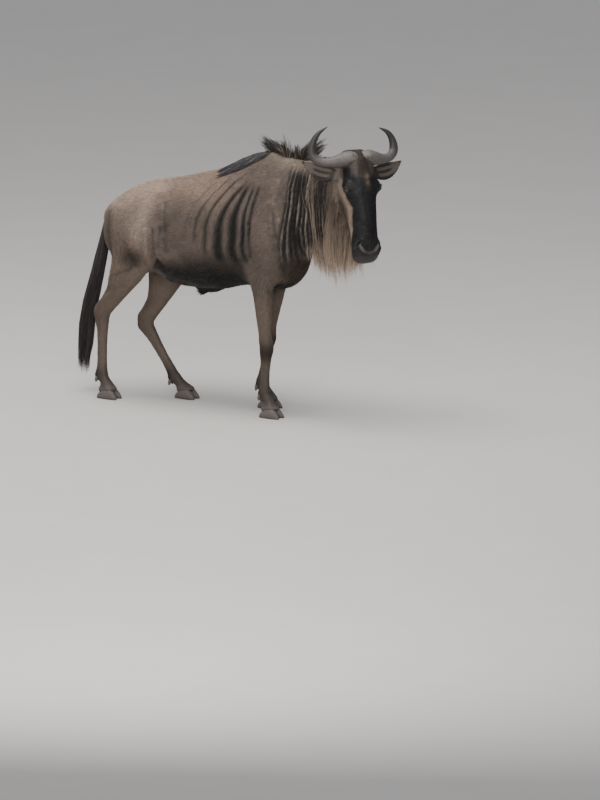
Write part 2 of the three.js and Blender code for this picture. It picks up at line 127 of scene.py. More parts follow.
def noise(spots, size, seed=0):
    """Smooth value noise from -1 to 1, with cells of a size in millimetres, or one size for each axis."""
    cell = np.asarray(spots, dtype=float) / np.asarray(size, dtype=float) + 31.7 * (seed + 1)
    low = np.floor(cell).astype(np.int64)
    f = cell - low
    f = f * f * (3 - 2 * f)
    total = 0.0
    for corner in np.ndindex(2, 2, 2):
        spot = low + np.array(corner)
        mark = spot[..., 0] * 73856093 ^ spot[..., 1] * 19349663 ^ spot[..., 2] * 83492791 ^ (seed * 2654435)
        mark = (mark ^ (mark >> 13)) * 1274126177 & 0x7FFFFFFF
        value = (mark % 65537) / 32768.5 - 1
        share = np.where(np.array(corner) == 1, f, 1 - f).prod(axis=-1)
        total = total + value * share
    return total


def layered(spots, size, seed=0, layers=3):
    """Noise with finer and weaker layers over it."""
    total = sum(noise(spots, np.asarray(size) / 2**i, seed + i) / 2**i for i in range(layers))
    return total / (2 - 2 ** (1 - layers))


# Shader maths as Python expressions


class Wire:
    """A socket's value in a material, on which the usual operators add their Math nodes."""

    def __init__(self, finish, socket):
        self.finish = finish
        self.socket = socket

    def join(self, operation, *values):
        return self.finish.add("ShaderNodeMath", {"operation": operation}, dict(enumerate((self, *values))))

    def __add__(self, other):
        return self.join("ADD", other)

    def __radd__(self, other):
        return self.join("ADD", other)

    def __sub__(self, other):
        return self.join("SUBTRACT", other)

    def __rsub__(self, other):
        return self.join("MULTIPLY_ADD", -1.0, other)

    def __mul__(self, other):
        return self.join("MULTIPLY", other)

    def __rmul__(self, other):
        return self.join("MULTIPLY", other)


class Finish:
    """A material under construction."""

    def __init__(self, name, **constants):
        self.material = bpy.data.materials.new(name)
        self.material.use_nodes = True
        self.tree = self.material.node_tree
        self.shader = self.tree.nodes["Principled BSDF"]
        for socket, value in constants.items():
            self.shader.inputs[socket.replace("_", " ")].default_value = value

    def add(self, kind, settings=None, sockets=None, output=0):
        """Adds a node: its settings first, then the values or wires of its sockets."""
        node = self.tree.nodes.new(kind)
        for name, value in (settings or {}).items():
            setattr(node, name, value)
        for name, value in (sockets or {}).items():
            if isinstance(value, Wire):
                self.tree.links.new(value.socket, node.inputs[name])
            else:
                node.inputs[name].default_value = value
        return Wire(self, node.outputs[output])

    def feed(self, socket, wire):
        self.tree.links.new(wire.socket, self.shader.inputs[socket])

    def spots(self, scale=(1, 1, 1)):
        """Object coordinates, stretched."""
        spots = self.add("ShaderNodeTexCoord", output="Object")
        return self.add("ShaderNodeMapping", None, {"Vector": spots, "Scale": scale})

    def grain(self, spots, scale, detail=2.0, roughness=0.5):
        sockets = {"Vector": spots, "Scale": scale, "Detail": detail, "Roughness": roughness}
        return self.add("ShaderNodeTexNoise", None, sockets)

    def attribute(self, name, output="Fac"):
        return self.add("ShaderNodeAttribute", {"attribute_name": name}, output=output)

    def blend(self, amount, first, second, kind="MIX"):
        """Mixes two colours."""
        settings = {"data_type": "RGBA", "blend_type": kind}
        return self.add("ShaderNodeMix", settings, {0: amount, 6: first, 7: second}, output=2)

    def bump(self, height, distance, strength, over=None):
        """A relief, laid over another one where that is given."""
        sockets = {"Height": height, "Distance": distance, "Strength": strength}
        if over is not None:
            sockets["Normal"] = over
        return self.add("ShaderNodeBump", None, sockets)


def linear(colour):
    """Screen colours of 0 to 255 as linear ones."""
    parts = np.clip(np.asarray(colour, dtype=float) / 255, 0, 1)
    return np.where(parts <= 0.04045, parts / 12.92, ((parts + 0.055) / 1.055) ** 2.4)


def tone(red, green, blue):
    """A screen colour as a socket takes it."""
    return (*[float(part) for part in linear((red, green, blue))], 1.0)


# The skin: the flesh's solids, fused, smoothed and sculpted

LEG_NAMES = [f"leg_{end}_{side}" for end in ("fore", "hind") for side in SIDES]
FLESH = ["head", "neck", "chest", "barrel", "rump", "tail_dock"]
FLESH += [f"{leg}_{part}" for leg in LEG_NAMES for part in ("upper", "lower")]
VOXEL = 8.3
CORONET_HEIGHT = 58
HORN_BOSS = in_head(-6, 0, -62)

# Where the legs bend, as in the solids
JOINTS = {
    "leg_fore_right": {"elbow": (-22, -118, 700), "knee": (2, -106, 345), "fetlock": (-8, -104, 122)},
    "leg_fore_left": {"elbow": (-70, 118, 700), "knee": (-118, 106, 345), "fetlock": (-154, 104, 122)},
    "leg_hind_right": {"stifle": (-722, -122, 705), "hock": (-945, -104, 432), "fetlock": (-950, -102, 118)},
    "leg_hind_left": {"stifle": (-655, 122, 640), "hock": (-835, 106, 360), "fetlock": (-655, 102, 98)},
}
# Balls that fill the pastern, by their share of the way from fetlock to coronet
PASTERN_BALLS = [(0.3, (25, 25, 24)), (0.5, (27, 29, 22)), (0.72, (31, 34, 19)), (1, (37, 41, 17))]
# Balls that fill the heels, by how far they are ahead of the foot's middle and above its coronet
HEEL_BALLS = [((-27, -16), (30, 39, 20)), ((-16, -2), (32, 38, 18)), ((-34, -12), (24, 36, 20))]


def new_object(name, mesh):
    piece = bpy.data.objects.new(name, mesh)
    bpy.context.scene.collection.objects.link(piece)
    return piece


def finished(name, shape, smooth=True):
    """Turns a bmesh into an object."""
    mesh = bpy.data.meshes.new(name)
    shape.to_mesh(mesh)
    shape.free()
    if smooth:
        mesh.shade_smooth()
    return new_object(name, mesh)


def add_ball(shape, spot, radii):
    stretch = Matrix.Diagonal((*(np.array(radii, dtype=float) * MM), 1.0))
    placing = Matrix.Translation(place(spot)) @ stretch
    bmesh.ops.create_icosphere(shape, subdivisions=3, radius=1, matrix=placing)


def foot_middle(leg):
    """The spot on the floor in the middle of a foot's two hooves."""
    foot = leg.replace("leg", "foot")
    middles = [box_middle(f"{foot}_{half}_hoof") for half in ("outer", "inner")]
    spot = unplace(sum(middles) / 2)
    return np.array([spot[0], spot[1], 0.0])


FEET = {leg: foot_middle(leg) for leg in LEG_NAMES}


def fused_flesh():
    """One closed mesh of all the flesh, filled up where horns, eyes, ears and hooves meet it."""
    shape = bmesh.new()
    for name in FLESH:
        shape.from_mesh(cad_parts[name].data)
    for side in SIDES.values():
        add_ball(shape, in_head(EYE_SPOT[0], side * 74, EYE_SPOT[2]), (24, 24, 24))
        add_ball(shape, in_head(54, side * 70, -134), (30, 30, 30))
        for reach, sweep in ((14, 2), (38, -2), (60, -8)):
            add_ball(shape, HORN_BOSS + FACE_LEFT * side * reach + HEADING * sweep, (28, 28, 28))
    for leg, spot in FEET.items():
        fetlock = np.array(JOINTS[leg]["fetlock"], dtype=float)
        coronet = spot + (6, 0, CORONET_HEIGHT - 8)
        for share, radii in PASTERN_BALLS:
            add_ball(shape, fetlock + (coronet - fetlock) * share, radii)
        for (ahead, above), radii in HEEL_BALLS:
            add_ball(shape, spot + (ahead, 0, CORONET_HEIGHT + above), radii)
        for apart in (15, -15):
            add_ball(shape, fetlock + (-17, apart, -15), (17, 12, 17))
    bmesh.ops.remove_doubles(shape, verts=shape.verts, dist=1e-6)
    bmesh.ops.triangulate(shape, faces=shape.faces)
    piece = finished("fused", shape)
    fuse = piece.modifiers.new("fuse", "REMESH")
    fuse.mode = "VOXEL"
    fuse.voxel_size = VOXEL * MM
    whole = bpy.data.meshes.new_from_object(piece.evaluated_get(bpy.context.evaluated_depsgraph_get()))
    bpy.data.objects.remove(piece)
    return whole


def numbers(items, name, width=3, kind=np.float32):
    """One property of every item of a mesh, as an array."""
    values = np.empty(len(items) * width, dtype=kind)
    items.foreach_get(name, values)
    return values.reshape(-1, width) if width > 1 else values


def spots_of(mesh):
    return unplace(numbers(mesh.vertices, "co"))


def head_share(spots):
    """1 on the head and 0 on the neck behind it."""
    along, _, out = from_head(spots).T
    return ramp(-250, -205, out + 0.25 * np.maximum(along - 200, 0)) * ramp(330, 400, spots[:, 0])


def evened(spots, edges, rounds):
    """Moves every vertex towards its neighbours' middle, for its own number of rounds."""
    total = len(spots)
    ends = np.concatenate([edges[:, 0], edges[:, 1]])
    others = np.concatenate([edges[:, 1], edges[:, 0]])
    count = np.maximum(np.bincount(ends, minlength=total), 1)
    for i in range(int(rounds.max())):
        share = np.clip(rounds - i, 0, 1)[:, None] * 0.5
        sums = [np.bincount(ends, spots[others, axis], total) for axis in range(3)]
        spots = spots + share * (np.stack(sums, axis=1) / count[:, None] - spots)
    return spots


def vertex_normals(spots, corners):
    """Normals of a triangle mesh, weighted by area."""
    a, b, c = (spots[corners[:, i]] for i in range(3))
    faces = np.cross(b - a, c - a)
    total = [np.zeros(len(spots)) for _ in range(3)]
    for i in range(3):
        for axis in range(3):
            total[axis] += np.bincount(corners[:, i], faces[:, axis], len(spots))
    return unit(np.stack(total, axis=1))


# Bones and muscles that show on both sides: middle, spread along each axis, and height
BODY_BUMPS = [
    ((-612, 145, 1078), (42, 36, 28), 11),  # point of the hip
    ((-535, 175, 1045), (60, 60, 45), -9),  # hollow of the loin
    ((-735, 192, 885), (95, 60, 110), 10),  # haunch
    ((-732, 140, 730), (40, 40, 46), -8),  # below the haunch
    ((-652, 142, 748), (30, 30, 34), 9),  # stifle
    ((-585, 155, 690), (48, 60, 42), -17),  # groin
    ((-935, 70, 915), (28, 34, 36), 8),  # pin bone
    ((-430, 215, 900), (150, 70, 160), 4),  # ribs
    ((-120, 170, 1140), (40, 60, 60), -6),  # behind the shoulder blade
    ((75, 150, 870), (46, 44, 60), 9),  # point of the shoulder
    ((-12, 170, 890), (48, 50, 90), 9),  # muscle above the elbow
    ((120, 45, 760), (50, 40, 80), 6),  # breast
    ((-434, 0, 590), (26, 22, 40), 30),  # sheath
    ((20, 0, 1300), (90, 70, 60), 10),  # crest
    ((-390, 0, 1150), (150, 110, 60), 12),  # back
]
# Ridges and grooves: from, to, width and height
BODY_LINES = [
    ((-37, 178, 1125), (-62, 182, 962), 12, -7),
    ((-62, 182, 962), (-56, 172, 800), 12, -9),
    ((99, 110, 1248), (65, 130, 1175), 9, 4.5),
    ((65, 130, 1175), (45, 150, 1066), 11, 6.5),
    ((45, 150, 1066), (53, 160, 985), 11, 5),
    ((58, 150, 1062), (92, 158, 988), 13, 4),
    ((92, 158, 988), (108, 158, 862), 13, 4),
    ((54, 160, 1030), (76, 168, 905), 15, -6),
    ((76, 168, 905), (84, 165, 840), 15, -5),
    ((118, 120, 1245), (122, 135, 1100), 12, -5),
    ((-598, 165, 880), (-588, 145, 760), 11, -9),
    ((-632, 165, 880), (-630, 140, 760), 12, 4),
    ((-556, 178, 890), (-562, 165, 800), 8, -6),
    ((-553, 190, 1010), (-525, 195, 890), 16, -4.5),
    ((-525, 195, 890), (-515, 190, 792), 16, -5),
    ((-880, 110, 930), (-862, 125, 730), 20, -6),
    ((-837, 110, 632), (-750, 130, 672), 11, -6),
    ((-612, 140, 1078), (-700, 180, 800), 34, 4),
    ((-760, 150, 800), (-720, 150, 690), 18, -4),
    ((380, 80, 1070), (150, 95, 850), 20, -4),
]
# Leg bones: the joint they are at, offset, spread and height
LEG_BUMPS = [
    ("knee", (30, 0, 8), (18, 26, 24), 5),
    ("knee", (-32, 0, 30), (14, 14, 20), 5),
    ("knee", (0, 30, -10), (24, 10, 18), 3),
    ("knee", (0, -30, -10), (24, 10, 18), 3),
    ("elbow", (-68, 0, 24), (28, 60, 28), 8),
    ("hock", (-40, 0, 26), (16, 14, 26), 7),
    ("hock", (22, 0, -10), (16, 24, 26), 4),
    ("hock", (-6, 26, -12), (22, 10, 22), 3),
    ("hock", (-6, -26, -12), (22, 10, 22), 3),
    ("fetlock", (-28, 0, -4), (15, 22, 16), 5),
    ("fetlock", (20, 0, 8), (14, 20, 16), 3),
]
# Bumps and lines in the head's frame
HEAD_BUMPS = [
    ((122, 86, -34), (34, 20, 20), 4),  # brow over the eye
    ((172, 76, -36), (18, 20, 14), -6),  # hollow before the eye
    ((160, 86, -84), (26, 20, 18), -4),
    ((150, 86, -165), (56, 34, 44), 6),  # cheek
    ((255, 74, -118), (60, 24, 34), -6),  # hollow of the cheek
    ((428, 58, -40), (34, 20, 28), 4),  # wing of the nostril
    ((345, 62, -70), (50, 20, 40), -3),
    ((300, 0, 6), (90, 34, 22), 4),  # bridge of the nose
    ((90, 0, 6), (46, 50, 26), 4),  # forehead
    ((468, 0, -30), (18, 20, 22), -3),
    ((488, 0, -112), (22, 36, 20), 5),  # chin
]
HEAD_LINES = [
    ((190, 86, -80), (300, 70, -62), 12, 4),  # ridge of the cheekbone
    ((92, 70, -12), (70, 86, -70), 10, -3),
    ((484, 0, -80), (476, 40, -84), 4, -6),  # mouth
    ((476, 40, -84), (456, 66, -90), 4, -6),
    ((456, 66, -90), (392, 66, -104), 4, -5),
    ((494, 0, -96), (480, 44, -98), 7, 3),
    ((452, 50, -64), (400, 66, -78), 7, -3),
    ((300, 40, 0), (360, 44, -2), 10, -2.5),
    ((150, 30, 0), (300, 22, 0), 14, 2),
]
NOSTRIL = [(394, 46, -9), (406, 55, -18), (421, 60, -30), (438, 58, -42)]
WRINKLE_GAP = 15


def seam(spots, start, end, width):
    """1 on the line from start to end, fading over the width."""
    start = np.asarray(start, dtype=float)
    run = np.asarray(end, dtype=float) - start
    share = np.clip((spots - start) @ run / (run @ run), 0, 1)
    gap = np.linalg.norm(spots - start - share[:, None] * run, axis=1)
    return np.exp(-((gap / width) ** 2))


def on_nostrils(mirror, width):
    """1 on the nostrils' slits, fading over the width."""
    return np.max([seam(mirror, start, end, width) for start, end in zip(NOSTRIL, NOSTRIL[1:])], axis=0)


def mirrored(spots):
    """The same spots with their distance from the middle plane in place of y."""
    return np.column_stack([spots[:, 0], np.abs(spots[:, 1]), spots[:, 2]])


# The dark bands behind the shoulder: X where they stand, half width, darkness, foot, head, and how far the
# head leans forward
FLANK_BANDS = [
    (-60, 8, 0.6, 930, 1100, 25),
    (-93, 13, 1.0, 810, 1095, 37),
    (-147, 24, 1.0, 800, 1100, 60),
    (-220, 24, 0.9, 800, 1110, 110),
    (-290, 14, 0.5, 840, 1175, 125),
    (-348, 10, 0.3, 880, 1170, 130),
    (-400, 8, 0.2, 900, 1160, 130),
]
# The pale lines on the dark neck: X, half width and paleness
NECK_LINES = [
    (132, 4.5, 0.9), (156, 5, 1.0), (177, 3, 0.5), (199, 4.5, 0.9), (222, 3.5, 0.7),
    (244, 4.5, 0.95), (262, 3, 0.6), (278, 4, 0.9), (296, 3.5, 0.8), (312, 3, 0.6),
    (328, 4, 0.9), (348, 3.5, 0.8), (368, 4, 0.9), (390, 4, 0.8), (410, 4, 0.7),
]


def flank_bands(spots):
    """How dark the bands behind the shoulder are."""
    x, y, z = spots.T
    wander = 6 * noise(spots, (500, 900, 130), 5)
    dark = np.zeros(len(spots))
    for stand, half, depth, foot, head, lean in FLANK_BANDS:
        bend = lean * (np.maximum(z - 900, 0) / 250) ** 2 + 42 * (np.maximum(850 - z, 0) / 110) ** 1.5
        own_half = half * (0.95 + 0.25 * noise(spots, (500, 900, 120), stand))
        own_half = own_half * (0.55 + 0.45 * ramp(head, 900, z))
        place_in = (x - stand - bend + wander) / own_half
        dark = np.maximum(dark, depth * np.exp(-np.abs(place_in) ** 2.4) * between(foot, head, 60, z))
    return dark * ramp(70, 130, np.abs(y))


def neck_lines(spots):
    """How pale the lines on the neck are."""
    x, _, z = spots.T
    wander = 6 * noise(spots, (160, 900, 120), 15)
    pale = np.zeros(len(spots))
    bend = -20 * ramp(1100, 850, z) + 5 * ramp(1150, 1260, z)
    for stand, half, paleness in NECK_LINES:
        place_in = (x - stand - bend + wander) / half
        broken = np.clip(0.75 + 0.7 * noise(spots, (300, 900, 130), stand), 0, 1)
        pale = np.maximum(pale, paleness * np.exp(-(place_in**2)) * broken)
    return pale * between(790, 1275, 40, z)


def on_neck(spots):
    """1 over the dark part of the neck."""
    x, _, z = spots.T
    edge = 118 - 18 * ramp(1100, 850, z) + 8 * noise(spots, (200, 500, 90), 24)
    return ramp(-14, 10, x - edge) * (1 - head_share(spots)) * ramp(690, 770, z)


def groin_hollow(spots):
    """1 in the wedge between belly and thigh, where the skin is sunk and the colour darkened with painted
    shade.
    """
    x, y, z = spots.T
    deep = 752 - np.maximum(1.34 * (-582 - x), 0.93 * (x + 582)) - z
    return ramp(-6, 12, deep) * ramp(590, 650, z) * ramp(230, 90, deep) * ramp(60, 100, np.abs(y))


def folds(spots):
    """Height of the loose skin's folds and of the grooves between muscles."""
    flat = spots * (1, 0, 1)
    flat[:, 0] += 9 * noise(spots, (400, 900, 90), 33)
    height = 6.0 * on_neck(spots) * (neck_lines(spots) - 0.2) - 6.0 * flank_bands(spots)
    lines = np.zeros(len(spots))
    for start, end, width, high in BODY_LINES:
        lines += high * seam(flat, np.multiply(start, (1, 0, 1)), np.multiply(end, (1, 0, 1)), width)
    return height + lines * ramp(60, 110, np.abs(spots[:, 1]))


def sculpted_body(spots):
    """How far the body's skin stands out or in."""
    mirror = mirrored(spots)
    height = folds(spots) + 2.5 * layered(mirror, (90, 90, 160), 21) - 13 * groin_hollow(spots)
    for centre, spread, high in BODY_BUMPS:
        reach = (1, 2.2, 1) if centre[1] > 100 else (1, 1, 1)
        height += high * near(mirror, centre, np.multiply(spread, reach))
    for name, joints in JOINTS.items():
        for joint, offset, spread, high in LEG_BUMPS:
            if joint in joints:
                height += high * near(spots, np.add(joints[joint], offset), spread)
        bend = "knee" if "fore" in name else "hock"
        for side in SIDES.values():
            start = np.add(joints[bend], (-12, side * 24, -60))
            end = np.add(joints["fetlock"], (-10, side * 22, 45))
            height -= 3 * seam(spots, start, end, 7)
        if bend == "hock":
            hollow_low = np.add(joints["hock"], (-14, 0, 70))
            hollow_high = (np.array(joints["hock"]) * 0.55 + np.array(joints["stifle"]) * 0.45) + (-30, 0, 0)
            for side in SIDES.values():
                across = (0, side * 30, 0)
                height -= 6 * seam(spots, hollow_low + across, hollow_high + across, 13)
    return height


def sculpted_head(local):
    mirror = mirrored(local)
    height = layered(mirror, (22, 22, 22), 40) * 0.8
    for centre, spread, high in HEAD_BUMPS:
        height += high * near(mirror, centre, spread)
    for start, end, width, high in HEAD_LINES:
        height += high * seam(mirror, start, end, width)
    height += 4 * on_nostrils(mirror, 14) - 17 * on_nostrils(mirror, 5.5)
    over_nose = between(330, 400, 30, mirror[:, 0]) * ramp(-60, -20, mirror[:, 2])
    wrinkles = np.cos(mirror[:, 0] * 2 * math.pi / WRINKLE_GAP + 4 * noise(mirror, 30, 44))
    return height + 0.35 * over_nose * wrinkles


EYE_RADIUS = 20.0
LID_LENGTH = 17.5
LID_HEIGHT = {"upper": 8.5, "lower": 6.5}
LID_THICK = 2.6


def eye_frame(side):
    """An eye's middle, the way it looks, the line from corner to corner, and up across the lids."""
    middle = in_head(EYE_SPOT[0], side * EYE_SPOT[1] - side * 3, EYE_SPOT[2])
    gaze = unit(FACE_LEFT * side * 0.9 + FACE_OUT * 0.42 - FACE_ALONG * 0.05)
    corner = FACE_OUT * 0.75 + FACE_ALONG * 0.6
    corner = unit(corner - gaze * (corner @ gaze))
    upward = np.cross(gaze, corner) * side
    return middle, gaze, corner, upward * np.sign(upward @ -FACE_ALONG)


def with_lids(spots):
    """Opens the lids: the skin dips behind the eyeball within them and lies on it round them."""
    for side in SIDES.values():
        middle, gaze, corner, upward = eye_frame(side)
        offset = spots - middle
        a, b, c = offset @ corner, offset @ upward, offset @ gaze
        tall = np.where(b > 0, LID_HEIGHT["upper"], LID_HEIGHT["lower"])
        reach = np.sqrt((a / LID_LENGTH) ** 2 + (b / tall) ** 2)
        touched = (reach < 3) & (c > -4)
        heading = unit(offset)
        distance = np.linalg.norm(offset, axis=1)
        lid = EYE_RADIUS + LID_THICK - 1.6 * np.exp(-(((reach - 1.75) / 0.28) ** 2))
        lid = np.where(reach < 1, EYE_RADIUS - 6, lid)
        keep = ramp(1.5, 2.9, reach)
        wanted = lid * (1 - keep) + distance * keep
        spots = np.where(touched[:, None], middle + heading * wanted[:, None], spots)
    return spots


def refined(mesh, wanted):
    """Halves the faces where wanted says so."""
    shape = bmesh.new()
    shape.from_mesh(mesh)
    chosen = wanted(spots_of(mesh))
    edges = [e for e in shape.edges if chosen[e.verts[0].index] and chosen[e.verts[1].index]]
    bmesh.ops.subdivide_edges(shape, edges=edges, cuts=1, use_grid_fill=True)
    shape.to_mesh(mesh)
    shape.free()


def on_face(spots):
    local = from_head(spots)
    return (local[:, 2] > -215) & (spots[:, 0] > 380)


def on_features(spots):
    """Round the eyes and over the muzzle."""
    local = mirrored(from_head(spots))
    eye = np.linalg.norm(local - np.array(EYE_SPOT), axis=1) < 52
    muzzle = (local[:, 0] > 392) & (local[:, 2] > -70)
    return (eye | muzzle) & (spots[:, 0] > 380)


def move_to(mesh, spots):
    mesh.vertices.foreach_set("co", place(spots).astype(np.float32).ravel())
    mesh.update()


def triangles(mesh):
    mesh.calc_loop_triangles()
    return numbers(mesh.loop_triangles, "vertices", 3, np.int32)


def smooth_again(mesh, rounds_of):
    """Evens the surface, for a number of rounds that depends on the spot."""
    spots = spots_of(mesh)
    edges = numbers(mesh.edges, "vertices", 2, np.int32)
    move_to(mesh, evened(spots, edges, rounds_of(spots)))


def first_rounds(spots):
    """More smoothing on the wide trunk than on the slim legs and the head."""
    trunk_rounds, crest_rounds, leg_rounds, head_rounds, tail_rounds = 60, 18, 7, 9, 5
    x, y, z = spots.T
    rounds = trunk_rounds + (leg_rounds - trunk_rounds) * ramp(700, 600, z)
    rounds = rounds + (crest_rounds - rounds) * ramp(1180, 1250, z)
    rounds = rounds + (tail_rounds - rounds) * ramp(-935, -965, x) * ramp(60, 40, np.abs(y))
    return rounds + (head_rounds - rounds) * head_share(spots)


def coat_depth(spots):
    """How deep the coat is over the skin."""
    depth = 4.0 - 1.8 * ramp(720, 600, spots[:, 2])
    return depth + (1.6 - depth) * head_share(spots)


def make_skin():
    """The flesh, finer on the head and finest round its features, sculpted and sunk by the coat's depth."""
    mesh = fused_flesh()
    smooth_again(mesh, first_rounds)
    refined(mesh, on_face)
    smooth_again(mesh, lambda spots: 3.0 * head_share(spots))
    refined(mesh, on_features)
    smooth_again(mesh, lambda spots: 2.0 * on_features(spots))
    spots = spots_of(mesh)
    normals = vertex_normals(spots, triangles(mesh))
    head = head_share(spots)
    height = sculpted_body(spots) * (1 - head) + sculpted_head(from_head(spots)) * head
    spots = with_lids(spots + normals * (height - coat_depth(spots))[:, None])
    move_to(mesh, spots)
    shape = bmesh.new()
    shape.from_mesh(mesh)
    for side in SIDES.values():
        add_ear(shape, side)
    bmesh.ops.triangulate(shape, faces=shape.faces)
    bpy.data.meshes.remove(mesh)
    return finished("skin", outward(shape))


# Shapes drawn as rings round a path


def smoothed(rows, count):
    """Rows of numbers as a smooth curve through them, at count even places."""
    rows = np.asarray(rows, dtype=float)
    places = np.linspace(0, len(rows) - 1, count)
    padded = np.vstack([2 * rows[0] - rows[1], rows, 2 * rows[-1] - rows[-2]])
    low = np.minimum(places.astype(int), len(rows) - 2)
    f = (places - low)[:, None]
    a, b, c, d = (padded[low + i] for i in range(4))
    return b + 0.5 * f * (c - a + f * (2 * a - 5 * b + 4 * c - d + f * (3 * (b - c) + d - a)))


def add_tube(shape, path, deep, wide, across, sides=24, square=0.0, cup=None, ahead=None, reshape=None):
    """Adds a closed tube, given half the depth and width of each ring. The width lies along across."""
    turn = np.linspace(0, 2 * math.pi, sides, endpoint=False)
    power = 2 / (2 + square)
    cos = np.sign(np.cos(turn)) * np.abs(np.cos(turn)) ** power
    sin = np.sign(np.sin(turn)) * np.abs(np.sin(turn)) ** power
    cup = np.zeros(len(path)) if cup is None else cup
    rims = []
    for i, middle in enumerate(path):
        run = path[min(i + 1, len(path) - 1)] - path[max(i - 1, 0)]
        run = unit(run if ahead is None else ahead)
        side = unit(across - run * (across @ run))
        up = np.cross(run, side)
        spots = middle + np.outer(wide[i] * cos, side) + np.outer(deep[i] * sin + cup[i] * cos**2, up)
        if reshape is not None:
            spots = reshape(spots)
        ring = bmesh.ops.create_circle(shape, segments=sides, radius=1)["verts"]
        for vert, spot in zip(ring, place(spots)):
            vert.co = spot
        rims.append(list({edge for vert in ring for edge in vert.link_edges}))
    for first, second in zip(rims, rims[1:]):
        bmesh.ops.bridge_loops(shape, edges=first + second)
    bmesh.ops.holes_fill(shape, edges=rims[0] + rims[-1])
    return shape


def outward(shape):
    bmesh.ops.recalc_face_normals(shape, faces=shape.faces)
    return shape


# Ears

EAR_LIFT = {RIGHT: 0.40, LEFT: 0.20}
EAR_LENGTH = 184
EAR_SAG = 20
# Along the ear, its half width, half thickness and how far its edges bend forwards
EAR_LEAF = [
    (-0.12, 20, 13, 0),
    (0.08, 26, 9, 6),
    (0.28, 39, 5, 13),
    (0.5, 40, 3.6, 15),
    (0.72, 28, 3, 10),
    (0.9, 12, 2.4, 4),
    (0.99, 3, 1.5, 1),
]


def ear_axes(side):
    """An ear's root, the way it points, the way its blade lies, and the way it opens."""
    root = in_head(62, side * 88, -136)
    out = unit(FACE_LEFT * side + UP * EAR_LIFT[side] - HEADING * 0.25)
    across = UP * side - HEADING * 0.15 * side
    across = unit(across - out * (across @ out))
    return root, out, across, np.cross(out, across)


def in_ear(spots, side):
    """Spots as shares of the ear's length, and millimetres across and forwards."""
    root, out, across, opening = ear_axes(side)
    offset = spots - root
    t = offset @ out / EAR_LENGTH
    offset = offset + np.outer(ear_sag(t), UP)
    return t, offset @ across, offset @ opening


def ear_sag(t):
    """How far the ear's middle hangs below a straight line."""
    return EAR_SAG * np.sin(math.pi * np.clip(t, 0, 1))


def add_ear(shape, side):
    root, out, across, _ = ear_axes(side)
    rows = smoothed(EAR_LEAF, 22)
    path = root + np.outer(rows[:, 0] * EAR_LENGTH, out) - np.outer(ear_sag(rows[:, 0]), UP)
    add_tube(shape, path, rows[:, 2], rows[:, 1], across, sides=32, cup=rows[:, 3])


def ear_share(spots):
    """1 on the ears beyond their roots."""
    share = np.zeros(len(spots))
    for side in SIDES.values():
        t, across, forward = in_ear(spots, side)
        near_axis = (np.abs(across) < 52) & (forward > -18) & (forward < 34)
        share = np.maximum(share, near_axis * ramp(0.02, 0.14, t))
    return share


# Colours of skin and coat alike, on a screen's scale of 0 to 255

BACK_TONE_AND_LIGHT = (156, 134, 120)
RUMP_TONE_AND_LIGHT = (192, 168, 150)
HAUNCH_HIGHLIGHT = (172, 155, 143)
FLANK = (110, 98, 90)
SHOULDER = (112, 100, 92)
NECK_DARK = (28, 26, 25)
NECK_PALE = (160, 148, 138)
CREST_PALE = (140, 126, 110)
SUNLIT = (170, 150, 135)
BAND = (14, 14, 15)
BELLY_TONE_AND_SHADE = (26, 23, 22)
BREAST = (66, 56, 48)
THIGH = (148, 130, 117)
LEG = (134, 119, 108)
LEG_REAR = (92, 78, 68)
DARK_BROWN_AND_SHADE = (52, 43, 38)
PASTERN = (94, 85, 79)
CORONET = (116, 108, 104)
UNDERSIDE_SHADE = (26, 23, 22)
MASK = (29, 29, 33)
MUZZLE = (54, 51, 52)
CRESCENT_AND_SHEEN = (116, 111, 110)
CHEEK = (188, 166, 144)
JAW = (112, 100, 90)
FOREHEAD_TONE = (90, 82, 78)
TAN = (158, 138, 114)
EAR_OUT = (112, 101, 92)
EAR_IN = (130, 119, 110)
DARK = (34, 31, 31)


def painted(base, layers, count):
    """A base colour or direction with others laid over it, each by its own amount."""
    colour = np.tile(np.array(base, dtype=float), (count, 1))
    for over, amount in layers:
        colour = mixed(colour, np.array(over, dtype=float), np.clip(amount, 0, 1))
    return colour


